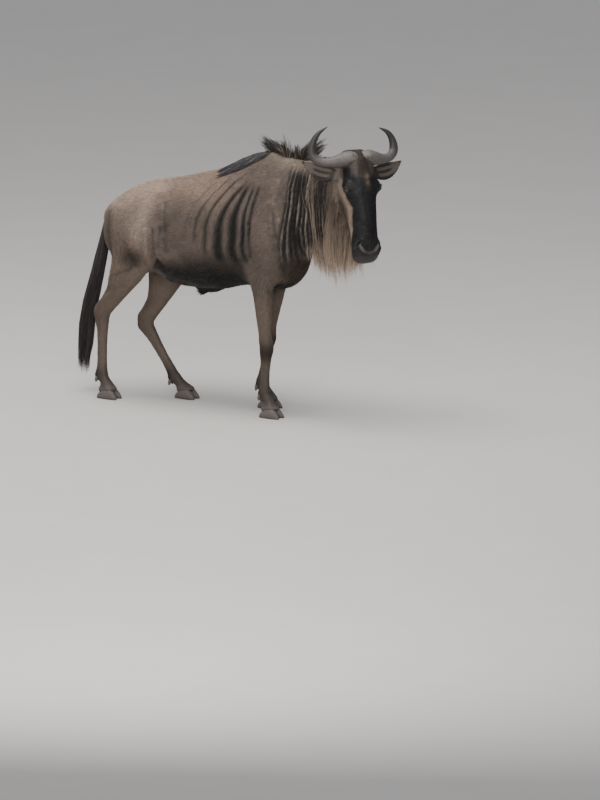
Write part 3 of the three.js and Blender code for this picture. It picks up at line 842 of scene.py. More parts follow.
def body_tones(spots):
    x, y, z = spots.T
    mirror = mirrored(spots)
    mottle = layered(spots, (70, 70, 90), 60)
    fine = layered(spots, (16, 16, 30), 66)
    hind = ramp(-380, -440, x)
    off_belly = np.maximum(ramp(-570, -610, x) + ramp(-160, -120, x), ramp(570, 500, z))
    high_leg = ramp(640, 560, z) * ramp(36, 54, np.abs(y)) * off_belly
    hind_low = ramp(740, 600, z) * off_belly
    inner = ramp(96, 70, np.abs(y)) * high_leg
    belly_top = 850 - 0.45 * np.maximum(-330 - x, 0)
    layers = [
        (SHOULDER, between(-60, 118, 40, x)),
        # Lighter back and rump: partly their own tone, partly painted light on the top of the body.
        (BACK_TONE_AND_LIGHT, ramp(960, 1120, z + 30 * mottle) * ramp(-60, -300, x)),
        (RUMP_TONE_AND_LIGHT, ramp(800, 1040, z - 0.35 * (x + 900) + 25 * mottle) * ramp(-520, -700, x)),
        # Painted highlight: a broad pale patch on the haunch.
        (HAUNCH_HIGHLIGHT, near(mirror, (-690, 195, 900), (130, 120, 140)) * 0.75),
        (THIGH, hind * ramp(830, 700, z)),
        # Painted shade in the hollow below the haunch.
        (DARK_BROWN_AND_SHADE, near(mirror, (-735, 150, 725), (60, 110, 50)) * 0.9),
        (CREST_PALE, between(-10, 430, 60, x) * ramp(1215, 1270, z) * 0.55),
        (NECK_DARK, on_neck(spots) * ramp(1262, 1205, z + 14 * mottle)),
        (NECK_PALE, on_neck(spots) * neck_lines(spots)),
        (CREST_PALE, between(70, 420, 40, x) * ramp(1222, 1262, z + 10 * fine) * 0.75),
        (BAND, flank_bands(spots) * 0.92),
        # The underside is dark, partly its own tone and partly painted shade.
        (BELLY_TONE_AND_SHADE, ramp(belly_top, 672, z + 14 * mottle) * between(-600, -104, 34, x)),
        (BELLY_TONE_AND_SHADE, ramp(700, 650, z) * between(-140, 60, 40, x) * ramp(95, 70, np.abs(y))),
        (BREAST, ramp(60, 130, x) * ramp(860, 760, z)),
        # Painted shade: darker in the groin, in the hollow between belly and thigh, round the sheath and
        # under the chest between the forelegs.
        (UNDERSIDE_SHADE, near(mirror, (-600, 60, 640), (100, 70, 90)) * 1.3),
        (UNDERSIDE_SHADE, groin_hollow(spots) * 0.95),
        (UNDERSIDE_SHADE, near(mirror, (-434, 0, 575), (90, 60, 60)) * 1.5),
        (UNDERSIDE_SHADE, near(mirror, (40, 40, 640), (120, 40, 40))),
        (LEG, high_leg * (1 - hind) + hind_low * hind),
        (LEG_REAR, high_leg * (0.5 + 0.5 * fine) * 0.5),
        (EAR_IN, inner * 0.3),
    ]
    for joints in JOINTS.values():
        if "knee" in joints:
            bend, on_pair, bend_amount, grey_top = joints["knee"], 1 - hind, 1.1, 330
        else:
            bend, on_pair, bend_amount, grey_top = joints["hock"], hind, 0.2, 190
        own = ramp(0, 8, y * np.sign(bend[1])) * on_pair
        behind_fetlock = near(spots, np.add(joints["fetlock"], (-30, 0, -6)), (26, 40, 34))
        layers += [
            (DARK_BROWN_AND_SHADE, near(spots, np.add(bend, (0, 0, -18)), (70, 60, 46)) * own * bend_amount),
            (PASTERN, ramp(grey_top, 120, z) * own),
            (CORONET, ramp(84, 50, z) * own),
            (DARK_BROWN_AND_SHADE, behind_fetlock * own),
        ]
    layers += [
        (DARK, ramp(-930, -955, x) * ramp(60, 40, np.abs(y)) * ramp(935, 895, z)),
        (SUNLIT, (0.10 + 0.10 * mottle) * ramp(700, 900, z) * (1 - on_neck(spots))),
        (DARK, np.maximum(-mottle, 0) * 0.12 + np.maximum(-fine, 0) * 0.16),
    ]
    tones = painted(FLANK, layers, len(spots))
    # The folds' height also changes the colour: painted shade in the grooves and painted highlight on the
    # ridges.
    return tones * (1 + np.clip(folds(spots) * 0.04, -0.38, 0.14))[:, None]


# The dark mask's edge on the cheek: places along the face, and how far out from the forehead it is there
MASK_EDGE_ALONG = [0, 60, 118, 180, 230, 333, 400, 430, 520]
MASK_EDGE_OUT = [-20, -50, -92, -66, -34, -58, -100, -240, -260]


def head_tones(spots):
    local = from_head(spots)
    mirror = mirrored(local)
    along, left, out = mirror.T
    fine = layered(local, (9, 9, 18), 72)
    sheen_streak = layered(local, (9, 9, 44), 74) + 0.5 * layered(local, (26, 14, 30), 75)
    mottle = layered(local, (40, 40, 60), 78)
    edge = np.interp(along, MASK_EDGE_ALONG, MASK_EDGE_OUT)
    mask = ramp(-7, 7, out - edge + 5 * fine) * ramp(72, 104, along + 12 * fine + 0.25 * left)
    mask = np.maximum(mask, between(40, 118, 16, along) * ramp(52, 68, left) * ramp(-84, -70, out))
    crest = 454 - 32 * (left / 46) ** 2
    thick = 4 + 6 * ramp(14, 40, left)
    moon = ramp(thick + 5, thick, np.abs(along - crest)) * ramp(56, 46, left) * ramp(-92, -70, out)
    lip = 491 - 22 * (left / 70) ** 2
    wedge = between(-60, 66, 22, along + 10 * fine) * ramp(34, 16, left - 0.1 * along + 6 * fine)
    layers = [
        (CHEEK, np.exp(-(((out - edge + 30) / 34) ** 2)) * between(105, 400, 40, along) * 0.85),
        (NECK_PALE, between(20, 150, 30, along) * between(-165, -110, 20, out) * 0.6),
        (FOREHEAD_TONE, ramp(-66, -46, out) * ramp(130, 90, along)),
        (DARK_BROWN_AND_SHADE, wedge * ramp(-90, -40, out) * 0.85),
        (DARK_BROWN_AND_SHADE, between(-90, 60, 20, along) * between(-150, -70, 16, out) * ramp(70, 46, left) * 0.8),
        (MASK, mask * (0.96 + 0.1 * mottle)),
        (TAN, near(local, (84, 10, 0), (26, 13, 40)) * (0.7 + 0.7 * fine)),
        (TAN, near(local, (112, 12, 0), (28, 14, 40)) * (0.5 + 0.8 * fine)),
        # Painted sheen: pale grey streaks over the black mask.
        (CRESCENT_AND_SHEEN, np.clip(sheen_streak - 0.15, 0, 1) * mask * 0.42),
        (FOREHEAD_TONE, near(mirror, (118, 84, -28), (10, 20, 14)) * 0.4),
        (MUZZLE, ramp(425, 462, along) * ramp(-112, -90, out)),
        (CRESCENT_AND_SHEEN, seam(mirror, (424, 70, -40), (392, 62, -24), 9) * 0.35),
        (CRESCENT_AND_SHEEN, moon * (0.55 + 0.45 * ramp(14, 36, left))),
        (MASK, ramp(-98, -110, out) * ramp(380, 430, along)),
        (CHEEK, np.exp(-(((along - lip) / 5) ** 2)) * ramp(-70, -86, out) * 0.55),
        (DARK, on_nostrils(mirror, 7.5)),
        (DARK, near(mirror, EYE_SPOT, (30, 30, 26)) * 0.8),
        (DARK, np.maximum(-fine, 0) * 0.22),
    ]
    return painted(JAW, layers, len(spots))


def ear_tones(spots):
    tones = np.zeros((len(spots), 3))
    for side in SIDES.values():
        t, across, forward = in_ear(spots, side)
        ts, halves, _, cups = np.array(EAR_LEAF).T
        half = np.interp(t, ts, halves)
        floor = np.interp(t, ts, cups) * np.clip(across / half, -1, 1) ** 2
        inside = (forward > floor).astype(float)
        rim = np.maximum(ramp(0.84, 0.97, np.abs(across) / half), ramp(0.9, 0.97, t))
        ribs = 0.5 + 0.5 * np.cos(across / half * 2.6 * math.pi + 0.6)
        dark_ribs = inside * ribs**2 * between(0.26, 0.56, 0.14, t)
        layers = [
            (EAR_IN, inside),
            (DARK, 0.8 * dark_ribs),
            (DARK, inside * ramp(0.24, 0.08, t) * 0.8),
            (DARK, 0.85 * rim),
        ]
        own = painted(EAR_OUT, layers, len(spots))
        mine = (spots - in_head(0, 0, 0)) @ FACE_LEFT * side > 0
        tones = np.where(mine[:, None], own, tones)
    return tones


def coat_tones(spots):
    """The colour at each spot, for skin and coat."""
    tones = mixed(body_tones(spots), head_tones(spots), ramp(0.3, 0.7, head_share(spots)))
    return mixed(tones, ear_tones(spots), ear_share(spots))


def give_tones(mesh, tones):
    """Stores linear colours on a mesh's points."""
    layer = mesh.attributes.new("tone", "FLOAT_COLOR", "POINT")
    values = np.ones((len(tones), 4), dtype=np.float32)
    values[:, :3] = linear(tones)
    layer.data.foreach_set("color", values.ravel())


# The lie of the coat


def lie(spots, normals):
    """The way the hair points, along the skin."""
    x, y, z = spots.T
    turns = [
        ((-1, 0, 0), ramp(0.6, 0.9, normals[:, 2])),
        ((-0.3, 0, -0.95), between(-330, -30, 60, x) * between(790, 1130, 50, z)),
        ((-0.15, 0, -1), ramp(60, 130, x)),
        ((-0.55, 0, -0.85), between(-90, 90, 50, x) * ramp(960, 840, z)),
        ((-0.35, 0, -1), ramp(-560, -680, x) * ramp(960, 820, z)),
        ((-0.1, 0, -1), ramp(-880, -940, x)),
        ((-0.2, 0, -1), ramp(690, 600, z) * (np.abs(y) > 40)),
        ((0.15, 0, -1), ramp(150, 100, z)),
        ((-0.5, 0, -0.6), ramp(0.4, 0.9, normals[:, 0]) * ramp(60, 120, x)),
    ]
    flow = painted((-1, 0, -0.3), turns, len(spots))
    local = from_head(spots)
    face = FACE_ALONG + FACE_LEFT * (np.sign(local[:, 1]) * 0.25)[:, None]
    back = FACE_ALONG * 0.5 - FACE_OUT * 0.9
    face = mixed(face, back, ramp(-70, -150, local[:, 2]))
    flow = mixed(flow, face, head_share(spots))
    for side in SIDES.values():
        out = ear_axes(side)[1]
        flow = mixed(flow, out, ear_share(spots) * (local[:, 1] * side > 60))
    swirl = 0.22 * noise(spots, 55, 90)[:, None] * np.cross(normals, flow)
    flow = flow + swirl
    return unit(flow - normals * (flow * normals).sum(axis=1)[:, None])


def hair_size(spots):
    """Length, width and rise of the short hair's tufts."""
    x, y, z = spots.T
    length = 19 + 7 * ramp(100, 200, x) * ramp(1000, 1200, z) + 5 * ramp(740, 640, z)
    width = np.full(len(spots), 2.5)
    rise = 0.13 + 0.05 * ramp(120, 220, x)
    short = ramp(640, 560, z) * (np.abs(y) > 30) + ramp(-930, -950, x) * (np.abs(y) < 50)
    short = np.clip(short, 0, 1)
    length = length + (10 - length) * short
    width = width + (1.7 - width) * short
    length = length - 3.0 * ramp(130, 90, z)
    on_head = np.maximum(head_share(spots), ear_share(spots))
    local = mirrored(from_head(spots))
    on_muzzle = ramp(415, 450, local[:, 0]) * ramp(-110, -80, local[:, 2])
    jaw = ramp(-110, -170, local[:, 2]) * (1 - ear_share(spots))
    face_length = 7.5 + 10 * jaw - 4.5 * on_muzzle
    length = length + (face_length - length) * on_head
    width = width + (1.4 + 0.5 * jaw - width) * on_head
    return length, width, rise


def bare_share(spots):
    """1 where no hair grows: within the lids and nostrils, the nose's end and between the half hooves."""
    local = mirrored(from_head(spots))
    bare = np.zeros(len(spots))
    for side in SIDES.values():
        middle, gaze, corner, upward = eye_frame(side)
        offset = spots - middle
        reach = np.sqrt((offset @ corner / (LID_LENGTH + 4)) ** 2 + (offset @ upward / 14.0) ** 2)
        bare = np.maximum(bare, (reach < 1) & (offset @ gaze > 0))
    bare = np.maximum(bare, on_nostrils(local, 9) > 0.4)
    nose = (local[:, 0] > 468) & (local[:, 2] > -90)
    bare = np.maximum(bare, nose & (head_share(spots) > 0.5))
    return np.maximum(bare, spots[:, 2] < 32)


class Skin:
    """The finished skin's triangles, for planting hair on it."""

    def __init__(self, piece):
        mesh = piece.data
        self.spots = spots_of(mesh)
        self.corners = triangles(mesh)
        self.normals = vertex_normals(self.spots, self.corners)
        uvs = numbers(mesh.uv_layers["OFBake"].data, "uv", 2)
        self.uvs = uvs[numbers(mesh.loop_triangles, "loops", 3, np.int32)]
        a, b, c = (self.spots[self.corners[:, i]] for i in range(3))
        self.middles = (a + b + c) / 3
        self.areas = np.linalg.norm(np.cross(b - a, c - a), axis=1) / 2
        self.tree = BVHTree.FromPolygons(self.spots.tolist(), self.corners.tolist())

    def places_near(self, spots):
        """The unwrap places of the triangles nearest to some spots."""
        return self.uvs[[self.tree.find_nearest(spot)[2] for spot in spots]].mean(axis=1)

    def draped(self, paths, lift):
        """Paths laid on the skin, each of their points at its own height over it."""
        laid = []
        for spot, high in zip(paths.reshape(-1, 3), lift.ravel()):
            ground, normal, _, _ = self.tree.find_nearest(spot)
            laid.append(np.array(ground) + np.array(normal) * high)
        return np.array(laid).reshape(paths.shape)

    def planted(self, weight, count):
        """Random roots, by a weight for each square millimetre: spots, normals and places on the unwrap."""
        share = self.areas * weight
        chosen = chance.choice(len(share), count, p=share / share.sum())
        mix = np.sqrt(chance.random(count))
        other = chance.random(count)
        parts = np.stack([1 - mix, mix * (1 - other), mix * other], axis=1)[:, :, None]
        corners = self.corners[chosen]
        spots = (self.spots[corners] * parts).sum(axis=1)
        normals = unit((self.normals[corners] * parts).sum(axis=1))
        return spots, normals, (self.uvs[chosen] * parts).sum(axis=1)


def triangle_piece(name, spots, corners, normals, tones, uvs):
    """An object from arrays of points in millimetres, triangles, normals, tones and unwrap places."""
    mesh = bpy.data.meshes.new(name)
    mesh.vertices.add(len(spots))
    mesh.loops.add(corners.size)
    mesh.polygons.add(len(corners))
    mesh.vertices.foreach_set("co", place(spots).astype(np.float32).ravel())
    mesh.loops.foreach_set("vertex_index", corners.astype(np.int32).ravel())
    mesh.polygons.foreach_set("loop_start", np.arange(0, corners.size, 3, dtype=np.int32))
    mesh.update(calc_edges=True)
    mesh.shade_smooth()
    layer = mesh.uv_layers.new(name="OFBake")
    layer.data.foreach_set("uv", uvs[corners.ravel()].astype(np.float32).ravel())
    give_tones(mesh, tones)
    if normals is not None:
        mesh.normals_split_custom_set_from_vertices(normals)
    return new_object(name, mesh)


# Half the width of a tuft's patch on the unwrap
PATCH = 0.0015
# How bright the skin and the hair's roots are beside the coat's own tone
ROOT_SHADE = 0.86
TUFT_TRIANGLES = np.array([(0, 2, 1), (0, 3, 2), (1, 2, 3), (0, 1, 3)])


def short_hair(name, spots, normals, places, tones):
    """Flat-lying tufts, each a closed blade of four triangles with a ridge, rising a little to its tip."""
    count = len(spots)
    flow = lie(spots, normals)
    length, width, rise = hair_size(spots)
    length = length * chance.uniform(0.7, 1.25, count)
    aside = chance.normal(0, 0.16, count)[:, None] * np.cross(normals, flow)
    flow = unit(flow + aside)
    side = np.cross(normals, flow)
    rise = rise * chance.uniform(0.4, 1.5, count)
    half = (width * chance.uniform(0.7, 1.2, count) / 2)[:, None]
    sunk = spots - normals * 0.7
    ridge = spots + flow * (0.2 * length)[:, None] + normals * (0.35 * width + 0.2 * length * rise)[:, None]
    tip = spots + flow * length[:, None] + normals * (length * rise + 0.2)[:, None]
    points = np.stack([sunk - side * half, sunk + side * half, ridge, tip], axis=1)
    edges = [unit(normals - side * 0.5), unit(normals + side * 0.5)]
    lighting = np.stack([*edges, normals, unit(normals + flow * 0.2)], axis=1)
    jitter = 1 + chance.normal(0, 0.10, count)[:, None]
    warm = 1 + chance.normal(0, 0.02, count)[:, None] * np.array([1, 0, -1])
    own = tones * jitter * warm
    shades = np.stack([own * ROOT_SHADE, own * ROOT_SHADE, own, own * 1.08], axis=1)
    uvs = places[:, None, :] + np.array([(-1, -1), (1, -1), (0, 0), (0, 1)]) * PATCH
    corners = (np.arange(count)[:, None, None] * 4 + TUFT_TRIANGLES).reshape(-1, 3)
    points, lighting, shades = (values.reshape(-1, 3) for values in (points, lighting, shades))
    return triangle_piece(name, points, corners, lighting, shades, uvs.reshape(-1, 2))


def coat_names(spots):
    """Which piece of the coat each spot belongs to."""
    x, _, z = spots.T
    names = np.full(len(spots), "coat_barrel", dtype=object)
    names[x > -330] = "coat_chest"
    names[x > 60] = "coat_neck"
    names[x < -620] = "coat_rump"
    low = z < 640
    names[low & (x > -350)] = "coat_forelegs"
    names[low & (x <= -350) & (z < 560)] = "coat_hindlegs"
    names[head_share(spots) > 0.5] = "coat_head"
    names[ear_share(spots) > 0.1] = "coat_ears"
    return names


def make_coat(skin, total):
    """The short hair, more of it where it is small, as one piece for each part of the body."""
    length, width, _ = hair_size(skin.middles)
    weight = (1 - bare_share(skin.middles)) / (length * width) ** 0.85
    spots, normals, places = skin.planted(weight, total)
    tones = coat_tones(spots)
    names = coat_names(spots)
    pieces = []
    for name in sorted(set(names)):
        own = names == name
        pieces.append(short_hair(name, spots[own], normals[own], places[own], tones[own]))
    return pieces


# Long hair: three-sided strands that taper to a point


def strands(name, paths, widths, tones, tip_tones, places):
    """One piece from many paths, with a width, a tone at each end and a place on the unwrap for each."""
    count, steps, _ = paths.shape
    rings = steps - 1
    share = np.linspace(0, 1, steps)
    run = unit(np.gradient(paths, axis=1))
    side = unit(np.cross(run, np.array([0.13, 0.97, 0.21])))
    other = np.cross(run, side)
    radius = widths[:, None] / 2 * (1 - share[None, :] ** 2.2) * (0.8 + 0.2 * np.sin(share * math.pi))
    around = []
    for angle in np.radians([90, 210, 330]):
        spoke = math.cos(angle) * side + 0.7 * math.sin(angle) * other
        around.append((paths + spoke * radius[:, :, None])[:, :rings])
    points = np.stack(around, axis=2).reshape(count, rings * 3, 3)
    points = np.concatenate([points, paths[:, -1:]], axis=1)
    faces = [(0, 2, 1)]
    for ring in range(rings - 1):
        for i in range(3):
            a, b = ring * 3 + i, ring * 3 + (i + 1) % 3
            faces += [(a, b, b + 3), (a, b + 3, a + 3)]
    last = (rings - 1) * 3
    faces += [(last + i, last + (i + 1) % 3, rings * 3) for i in range(3)]
    each = rings * 3 + 1
    corners = (np.arange(count)[:, None, None] * each + np.array(faces)).reshape(-1, 3)
    fade = np.append(np.repeat(share[:rings], 3), 1.0)
    shades = tones[:, None, :] + (tip_tones - tones)[:, None, :] * fade[None, :, None]
    across = np.append(np.tile([-1.0, 0.0, 1.0], rings), 0.0)
    uvs = places[:, None, :] + np.stack([across, fade * 2 - 1], axis=1) * PATCH
    points, shades = points.reshape(-1, 3), shades.reshape(-1, 3)
    return triangle_piece(name, points, corners, None, shades, uvs.reshape(-1, 2))


WISP_STEPS = 9


def flowing(roots, lengths, first, last, steps, bend=1.0):
    """Paths that start along first and end along last."""
    share = (np.linspace(0, 1, steps) ** bend)[None, :, None]
    ways = unit(first[:, None, :] * (1 - share) + last[:, None, :] * share)
    moves = ways[:, :-1] * (lengths / (steps - 1))[:, None, None]
    return np.concatenate([roots[:, None], roots[:, None] + np.cumsum(moves, axis=1)], axis=1)


def locked(paths, per_lock, pull, tightness=0.35):
    """Draws the strands together into locks towards their tips."""
    count, steps, _ = paths.shape
    leaders = chance.choice(count, max(count // per_lock, 1), replace=False)
    gaps = np.linalg.norm(paths[:, None, 0] - paths[None, leaders, 0], axis=2)
    own = leaders[np.argmin(gaps, axis=1)]
    share = np.linspace(0, 1, steps)[None, :, None]
    offset = (paths[:, :1] - paths[own, :1]) * (1 - share * (1 - tightness))
    gathered = paths[own] + offset
    amount = ramp(0.05, 0.8, share) * pull
    return paths + (gathered - paths) * amount


def wavy(paths, size, depth, seed):
    """Bends paths with smooth noise that grows towards the tips."""
    flat = paths.reshape(-1, 3)
    push = np.stack([layered(flat, size, seed + 3 * i) for i in range(3)], axis=1).reshape(paths.shape)
    return paths + push * depth * np.linspace(0, 1, paths.shape[1])[None, :, None]


def tufting(roots, size, seed):
    """Three values from -1 to 1 for each root, alike within a tuft of a size."""
    return np.stack([noise(roots, size, seed + i) for i in range(3)], axis=1)


def face_normals(skin):
    return unit(skin.normals[skin.corners].sum(axis=1))


# The middle of the mane, seen from above: X and Y
MANE_LINE = [(-60, 0), (20, 0), (110, -2), (195, -8), (270, -17), (330, -28), (390, -44)]
# How far the upright wisps lean forwards: X and lean
MANE_LEAN = [(-90, -1.5), (0, -1.2), (60, -0.5), (88, 0.1), (120, 0.7), (196, 0.7), (236, 2.4), (352, 2.2)]
MANE_GAP = 94


def make_mane(skin, total):
    """Upright wisps on the neck's crest, and flat locks over the near side of the back behind the withers."""
    x, y, z = skin.middles.T
    line = np.interp(x, *np.array(MANE_LINE).T)
    upward = face_normals(skin)[:, 2]
    grows = (np.abs(y - line) < 17) & (upward > 0.3) & (z > 1120) & (x > -260) & (x < 352)
    thin = 0.5 * near(skin.middles, (MANE_GAP, 0, 1300), (12, 60, 60))
    weight = grows * (0.2 + 0.8 * ramp(-200, -110, x) + 1.7 * between(-110, -30, 20, x)) * (1 - thin)
    roots, normals, places = skin.planted(weight, total)
    x = roots[:, 0]
    tuft = tufting(roots, (26, 400, 400), 100)
    loose = chance.normal(0, 1, (total, 3))
    behind = ramp(-8, -56, x)
    lean = np.interp(x, *np.array(MANE_LEAN).T)
    start = np.stack([lean * 0.35, 0.25 * tuft[:, 0] - 0.1, np.ones(total)], axis=1)
    rise = 0.5 + 0.4 * tuft[:, 2] + 0.2 * ramp(100, 140, x)
    end = np.stack([lean + 0.35 * tuft[:, 1], 0.5 * tuft[:, 0] - 0.2, rise], axis=1)
    in_gap = np.exp(-(((x - MANE_GAP) / 18) ** 2))
    length = (112 + 34 * tuft[:, 1]) * (1 - 0.25 * in_gap) * chance.uniform(0.4, 1.12, total)
    length = length * (1 + 0.3 * between(112, 190, 20, x) - 0.55 * ramp(196, 236, x))
    start = unit(start + 0.14 * loose)
    upright = flowing(roots - normals * 2, length, start, unit(end + 0.18 * loose), WISP_STEPS)
    upright = wavy(locked(upright, 14, 0.8, 0.15), 60, 12, 130)
    start = np.array([-0.55, -0.85, -0.1]) + 0.06 * loose
    end = np.array([-0.98, -0.1, -0.3]) + 0.05 * loose[:, ::-1]
    length = (285 + 75 * tuft[:, 2]) * chance.uniform(0.5, 1.08, total) * (1 - 0.5 * ramp(-60, -260, x))
    flat = flowing(roots, length, unit(start), unit(end), WISP_STEPS)
    flat = wavy(locked(flat, 20, 0.7, 0.15), 80, 8, 150)
    hump = np.sin(np.linspace(0.3, 1, WISP_STEPS) * math.pi) * chance.uniform(0, 7, total)[:, None]
    flat = skin.draped(flat, hump + 1.5)
    flat[:, 0] -= normals * 2
    paths = np.where((behind > chance.random(total))[:, None, None], flat, upright)
    tones = np.tile(np.array([46.0, 43, 44]), (total, 1))
    tones = mixed(tones, np.array([52.0, 51, 58]), behind)
    pale = chance.random(total) < 0.05 + 0.11 * between(60, 330, 40, x)
    tones[pale] = (150, 136, 120)
    tones = tones * chance.uniform(0.6, 1.45, total)[:, None]
    widths = chance.uniform(1.2, 2.3, total)
    return strands("mane_hair", paths, widths, tones, tones * 1.2, places)


# Where the beard starts on the sides of the neck, and where it ends: X and height
BEARD_TOP = [(200, 760), (261, 846), (359, 940), (445, 1010), (520, 1030)]
BEARD_FOOT = [(196, 790), (245, 712), (320, 668), (400, 664), (470, 690), (526, 744), (556, 790), (590, 820)]
# The jaw's lower edge, in the head's frame
JAW_EDGE = [
    (0, -222), (50, -232), (100, -236), (200, -218), (310, -166),
    (365, -144), (415, -130), (455, -122), (487, -116),
]


def make_beard(skin, total):
    """The long straw-coloured hair under the throat and along the jaw."""
    x, _, z = skin.middles.T
    along, _, out = from_head(skin.middles).T
    upward = face_normals(skin)[:, 2]
    top = np.interp(x, *np.array(BEARD_TOP).T)
    jaw = head_share(skin.middles)
    low = np.maximum(ramp(24, -24, z - top), ramp(-0.45, -0.8, upward))
    under_neck = (1 - jaw) * low * ramp(205, 250, x) * ramp(0.3, -0.2, upward)
    edge = np.interp(along, *np.array(JAW_EDGE).T)
    along_jaw = jaw * ramp(26, 12, out - edge) * between(190, 462, 20, along)
    weight = under_neck + along_jaw * (1.1 - 0.7 * ramp(300, 420, along))
    roots, normals, places = skin.planted(weight, total)
    foot = np.interp(roots[:, 0], *np.array(BEARD_FOOT).T)
    tuft = tufting(roots, (20, 40, 90), 200)
    length = (roots[:, 2] - foot) * chance.uniform(0.62, 1.05, total) * (0.95 + 0.2 * tuft[:, 0])
    length = np.clip(length, 30, 360)
    first = unit(normals * 0.35 + np.array([-0.05, 0, -1.0]) + 0.1 * chance.normal(0, 1, (total, 3)))
    last = np.stack([0.14 + 0.10 * tuft[:, 1], 0.10 * tuft[:, 2], np.full(total, -1.0)], axis=1)
    paths = flowing(roots - normals * 2, length, first, unit(last), WISP_STEPS, 0.7)
    paths = wavy(locked(paths, 18, 0.62, 0.3), 60, 12, 230)
    straw = np.array([250.0, 228, 202])
    brown = np.array([168.0, 146, 126])
    tones = brown + (straw - brown) * (chance.random(total) ** 0.8)[:, None]
    dark = chance.random(total) < 0.18
    tones[dark] = (96, 82, 72)
    high = ramp(840, 960, roots[:, 2])
    root_tones = mixed(tones * 0.85, np.array([112.0, 99, 89]), high * 0.7)
    widths = chance.uniform(0.9, 1.7, total)
    return strands("beard_hair", paths, widths, root_tones, tones * 1.08, places)


def make_throat_hair(skin, total):
    """The longer hair of throat and cheek, hanging along the skin between the jaw and the neck's folds."""
    x, y, z = skin.middles.T
    local = mirrored(from_head(skin.middles))
    jaw = head_share(skin.middles)
    on_throat = (1 - jaw) * ramp(200, 300, x) * between(900, 1150, 60, z) * ramp(40, 70, np.abs(y))
    on_cheek = jaw * between(40, 280, 40, local[:, 0]) * ramp(-118, -150, local[:, 2])
    on_cheek = on_cheek * (1 - ear_share(skin.middles)) * (local[:, 1] < 92)
    roots, normals, places = skin.planted(on_throat * 0.6 + on_cheek * 1.3, total)
    tuft = tufting(roots, (16, 30, 70), 240)
    first = unit(np.array([-0.12, 0, -1.0]) + 0.1 * chance.normal(0, 1, (total, 3)) + normals * 0.2)
    last = unit(np.array([0.02, 0, -1.0]) + 0.12 * tuft)
    length = 85 * chance.uniform(0.5, 1.2, total)
    paths = flowing(roots - normals * 2, length, first, last, 7)
    paths = locked(paths, 14, 0.7)
    lift = np.linspace(-1, 1, 7) * chance.uniform(2, 12, total)[:, None] + 2
    laid = skin.draped(paths, lift)
    cheek = head_share(roots) > 0.5
    paths = np.where(cheek[:, None, None], paths, laid)
    tones = coat_tones(roots) * chance.uniform(0.6, 1.5, total)[:, None]
    tones = mixed(tones, np.array([128.0, 115, 104]), 0.6 * chance.random(total))
    widths = chance.uniform(1.1, 2.0, total)
    return strands("throat_hair", paths, widths, tones * 0.85, tones * 1.2, places)


# Middle of the tail's hair: x, z, half depth and half width
TAIL_LINE = [
    (-944, 925, 12, 14), (-966, 905, 18, 20), (-987, 820, 25, 30), (-1010, 710, 31, 35),
    (-1044, 585, 36, 39), (-1080, 455, 41, 42), (-1102, 330, 44, 44), (-1112, 210, 42, 42),
    (-1118, 130, 34, 34), (-1120, 76, 24, 24),
]


def make_tail(skin, total):
    """The tail's long hair, each strand on its own line down the tail's length."""
    line = smoothed([(x, 0, z, deep, wide) for x, z, deep, wide in TAIL_LINE], 91)
    start = chance.uniform(0.02, 0.34, total)
    end = start + (1 - start) * np.clip(chance.beta(3.0, 1.0, total), 0.25, 1)
    angle = chance.uniform(0, 2 * math.pi, total)
    radius = np.sqrt(chance.uniform(0.05, 1, total))
    steps = 11
    share = np.linspace(0, 1, steps)
    where = (start[:, None] + (end - start)[:, None] * share) * (len(line) - 1)
    low = np.minimum(where.astype(int), len(line) - 2)
    rows = line[low] + (line[low + 1] - line[low]) * (where - low)[..., None]
    run = unit(np.gradient(line[:, :3], axis=0))[low]
    rear = unit(np.cross(run, np.array([0.0, 1.0, 0.0])))
    swing = angle[:, None] + 0.5 * share * chance.normal(0, 1, total)[:, None]
    spread = radius[:, None] * (0.85 + 0.15 * share)
    paths = rows[..., :3] + rear * (rows[..., 3] * spread * np.cos(swing))[..., None]
    paths[..., 1] += rows[..., 4] * spread * np.sin(swing)
    paths = wavy(locked(paths, 26, 0.85, 0.22), 70, 15, 330)
    places = skin.places_near(paths[:, 0])
    tones = np.tile(np.array([50.0, 46, 48]), (total, 1)) * chance.uniform(0.5, 1.6, total)[:, None]
    brown = chance.random(total) < 0.08
    tones[brown] = (86, 76, 68)
    return strands("tail_tuft", paths, chance.uniform(1.3, 2.3, total), tones, tones * 1.25, places)


# Horns, hooves and eyes

HORN_REACH = 216
TIP_LIFT = {RIGHT: 22, LEFT: 0}
# Along each horn: share of the reach, rise, sweep, half depth, half width and share of the tip's lift
HORN_PATH = [
    (0.075, 4, 5, 20, 25, 0),
    (0.1, 4, 4, 29, 35, 0),
    (0.24, 2, -4, 38, 42, 0),
    (0.42, -8, -14, 35, 37, 0),
    (0.64, -15, -26, 25, 26, 0),
    (0.84, -11, -46, 22.5, 22.5, 0),
    (0.965, 10, -66, 22.5, 22.5, 0),
    (0.99, 42, -77, 20.5, 20.5, 0),
    (0.945, 76, -80, 16.5, 16.5, 0.3),
    (0.83, 107, -76, 11.5, 11.5, 0.7),
    (0.62, 132, -70, 2.2, 2.2, 1),
]


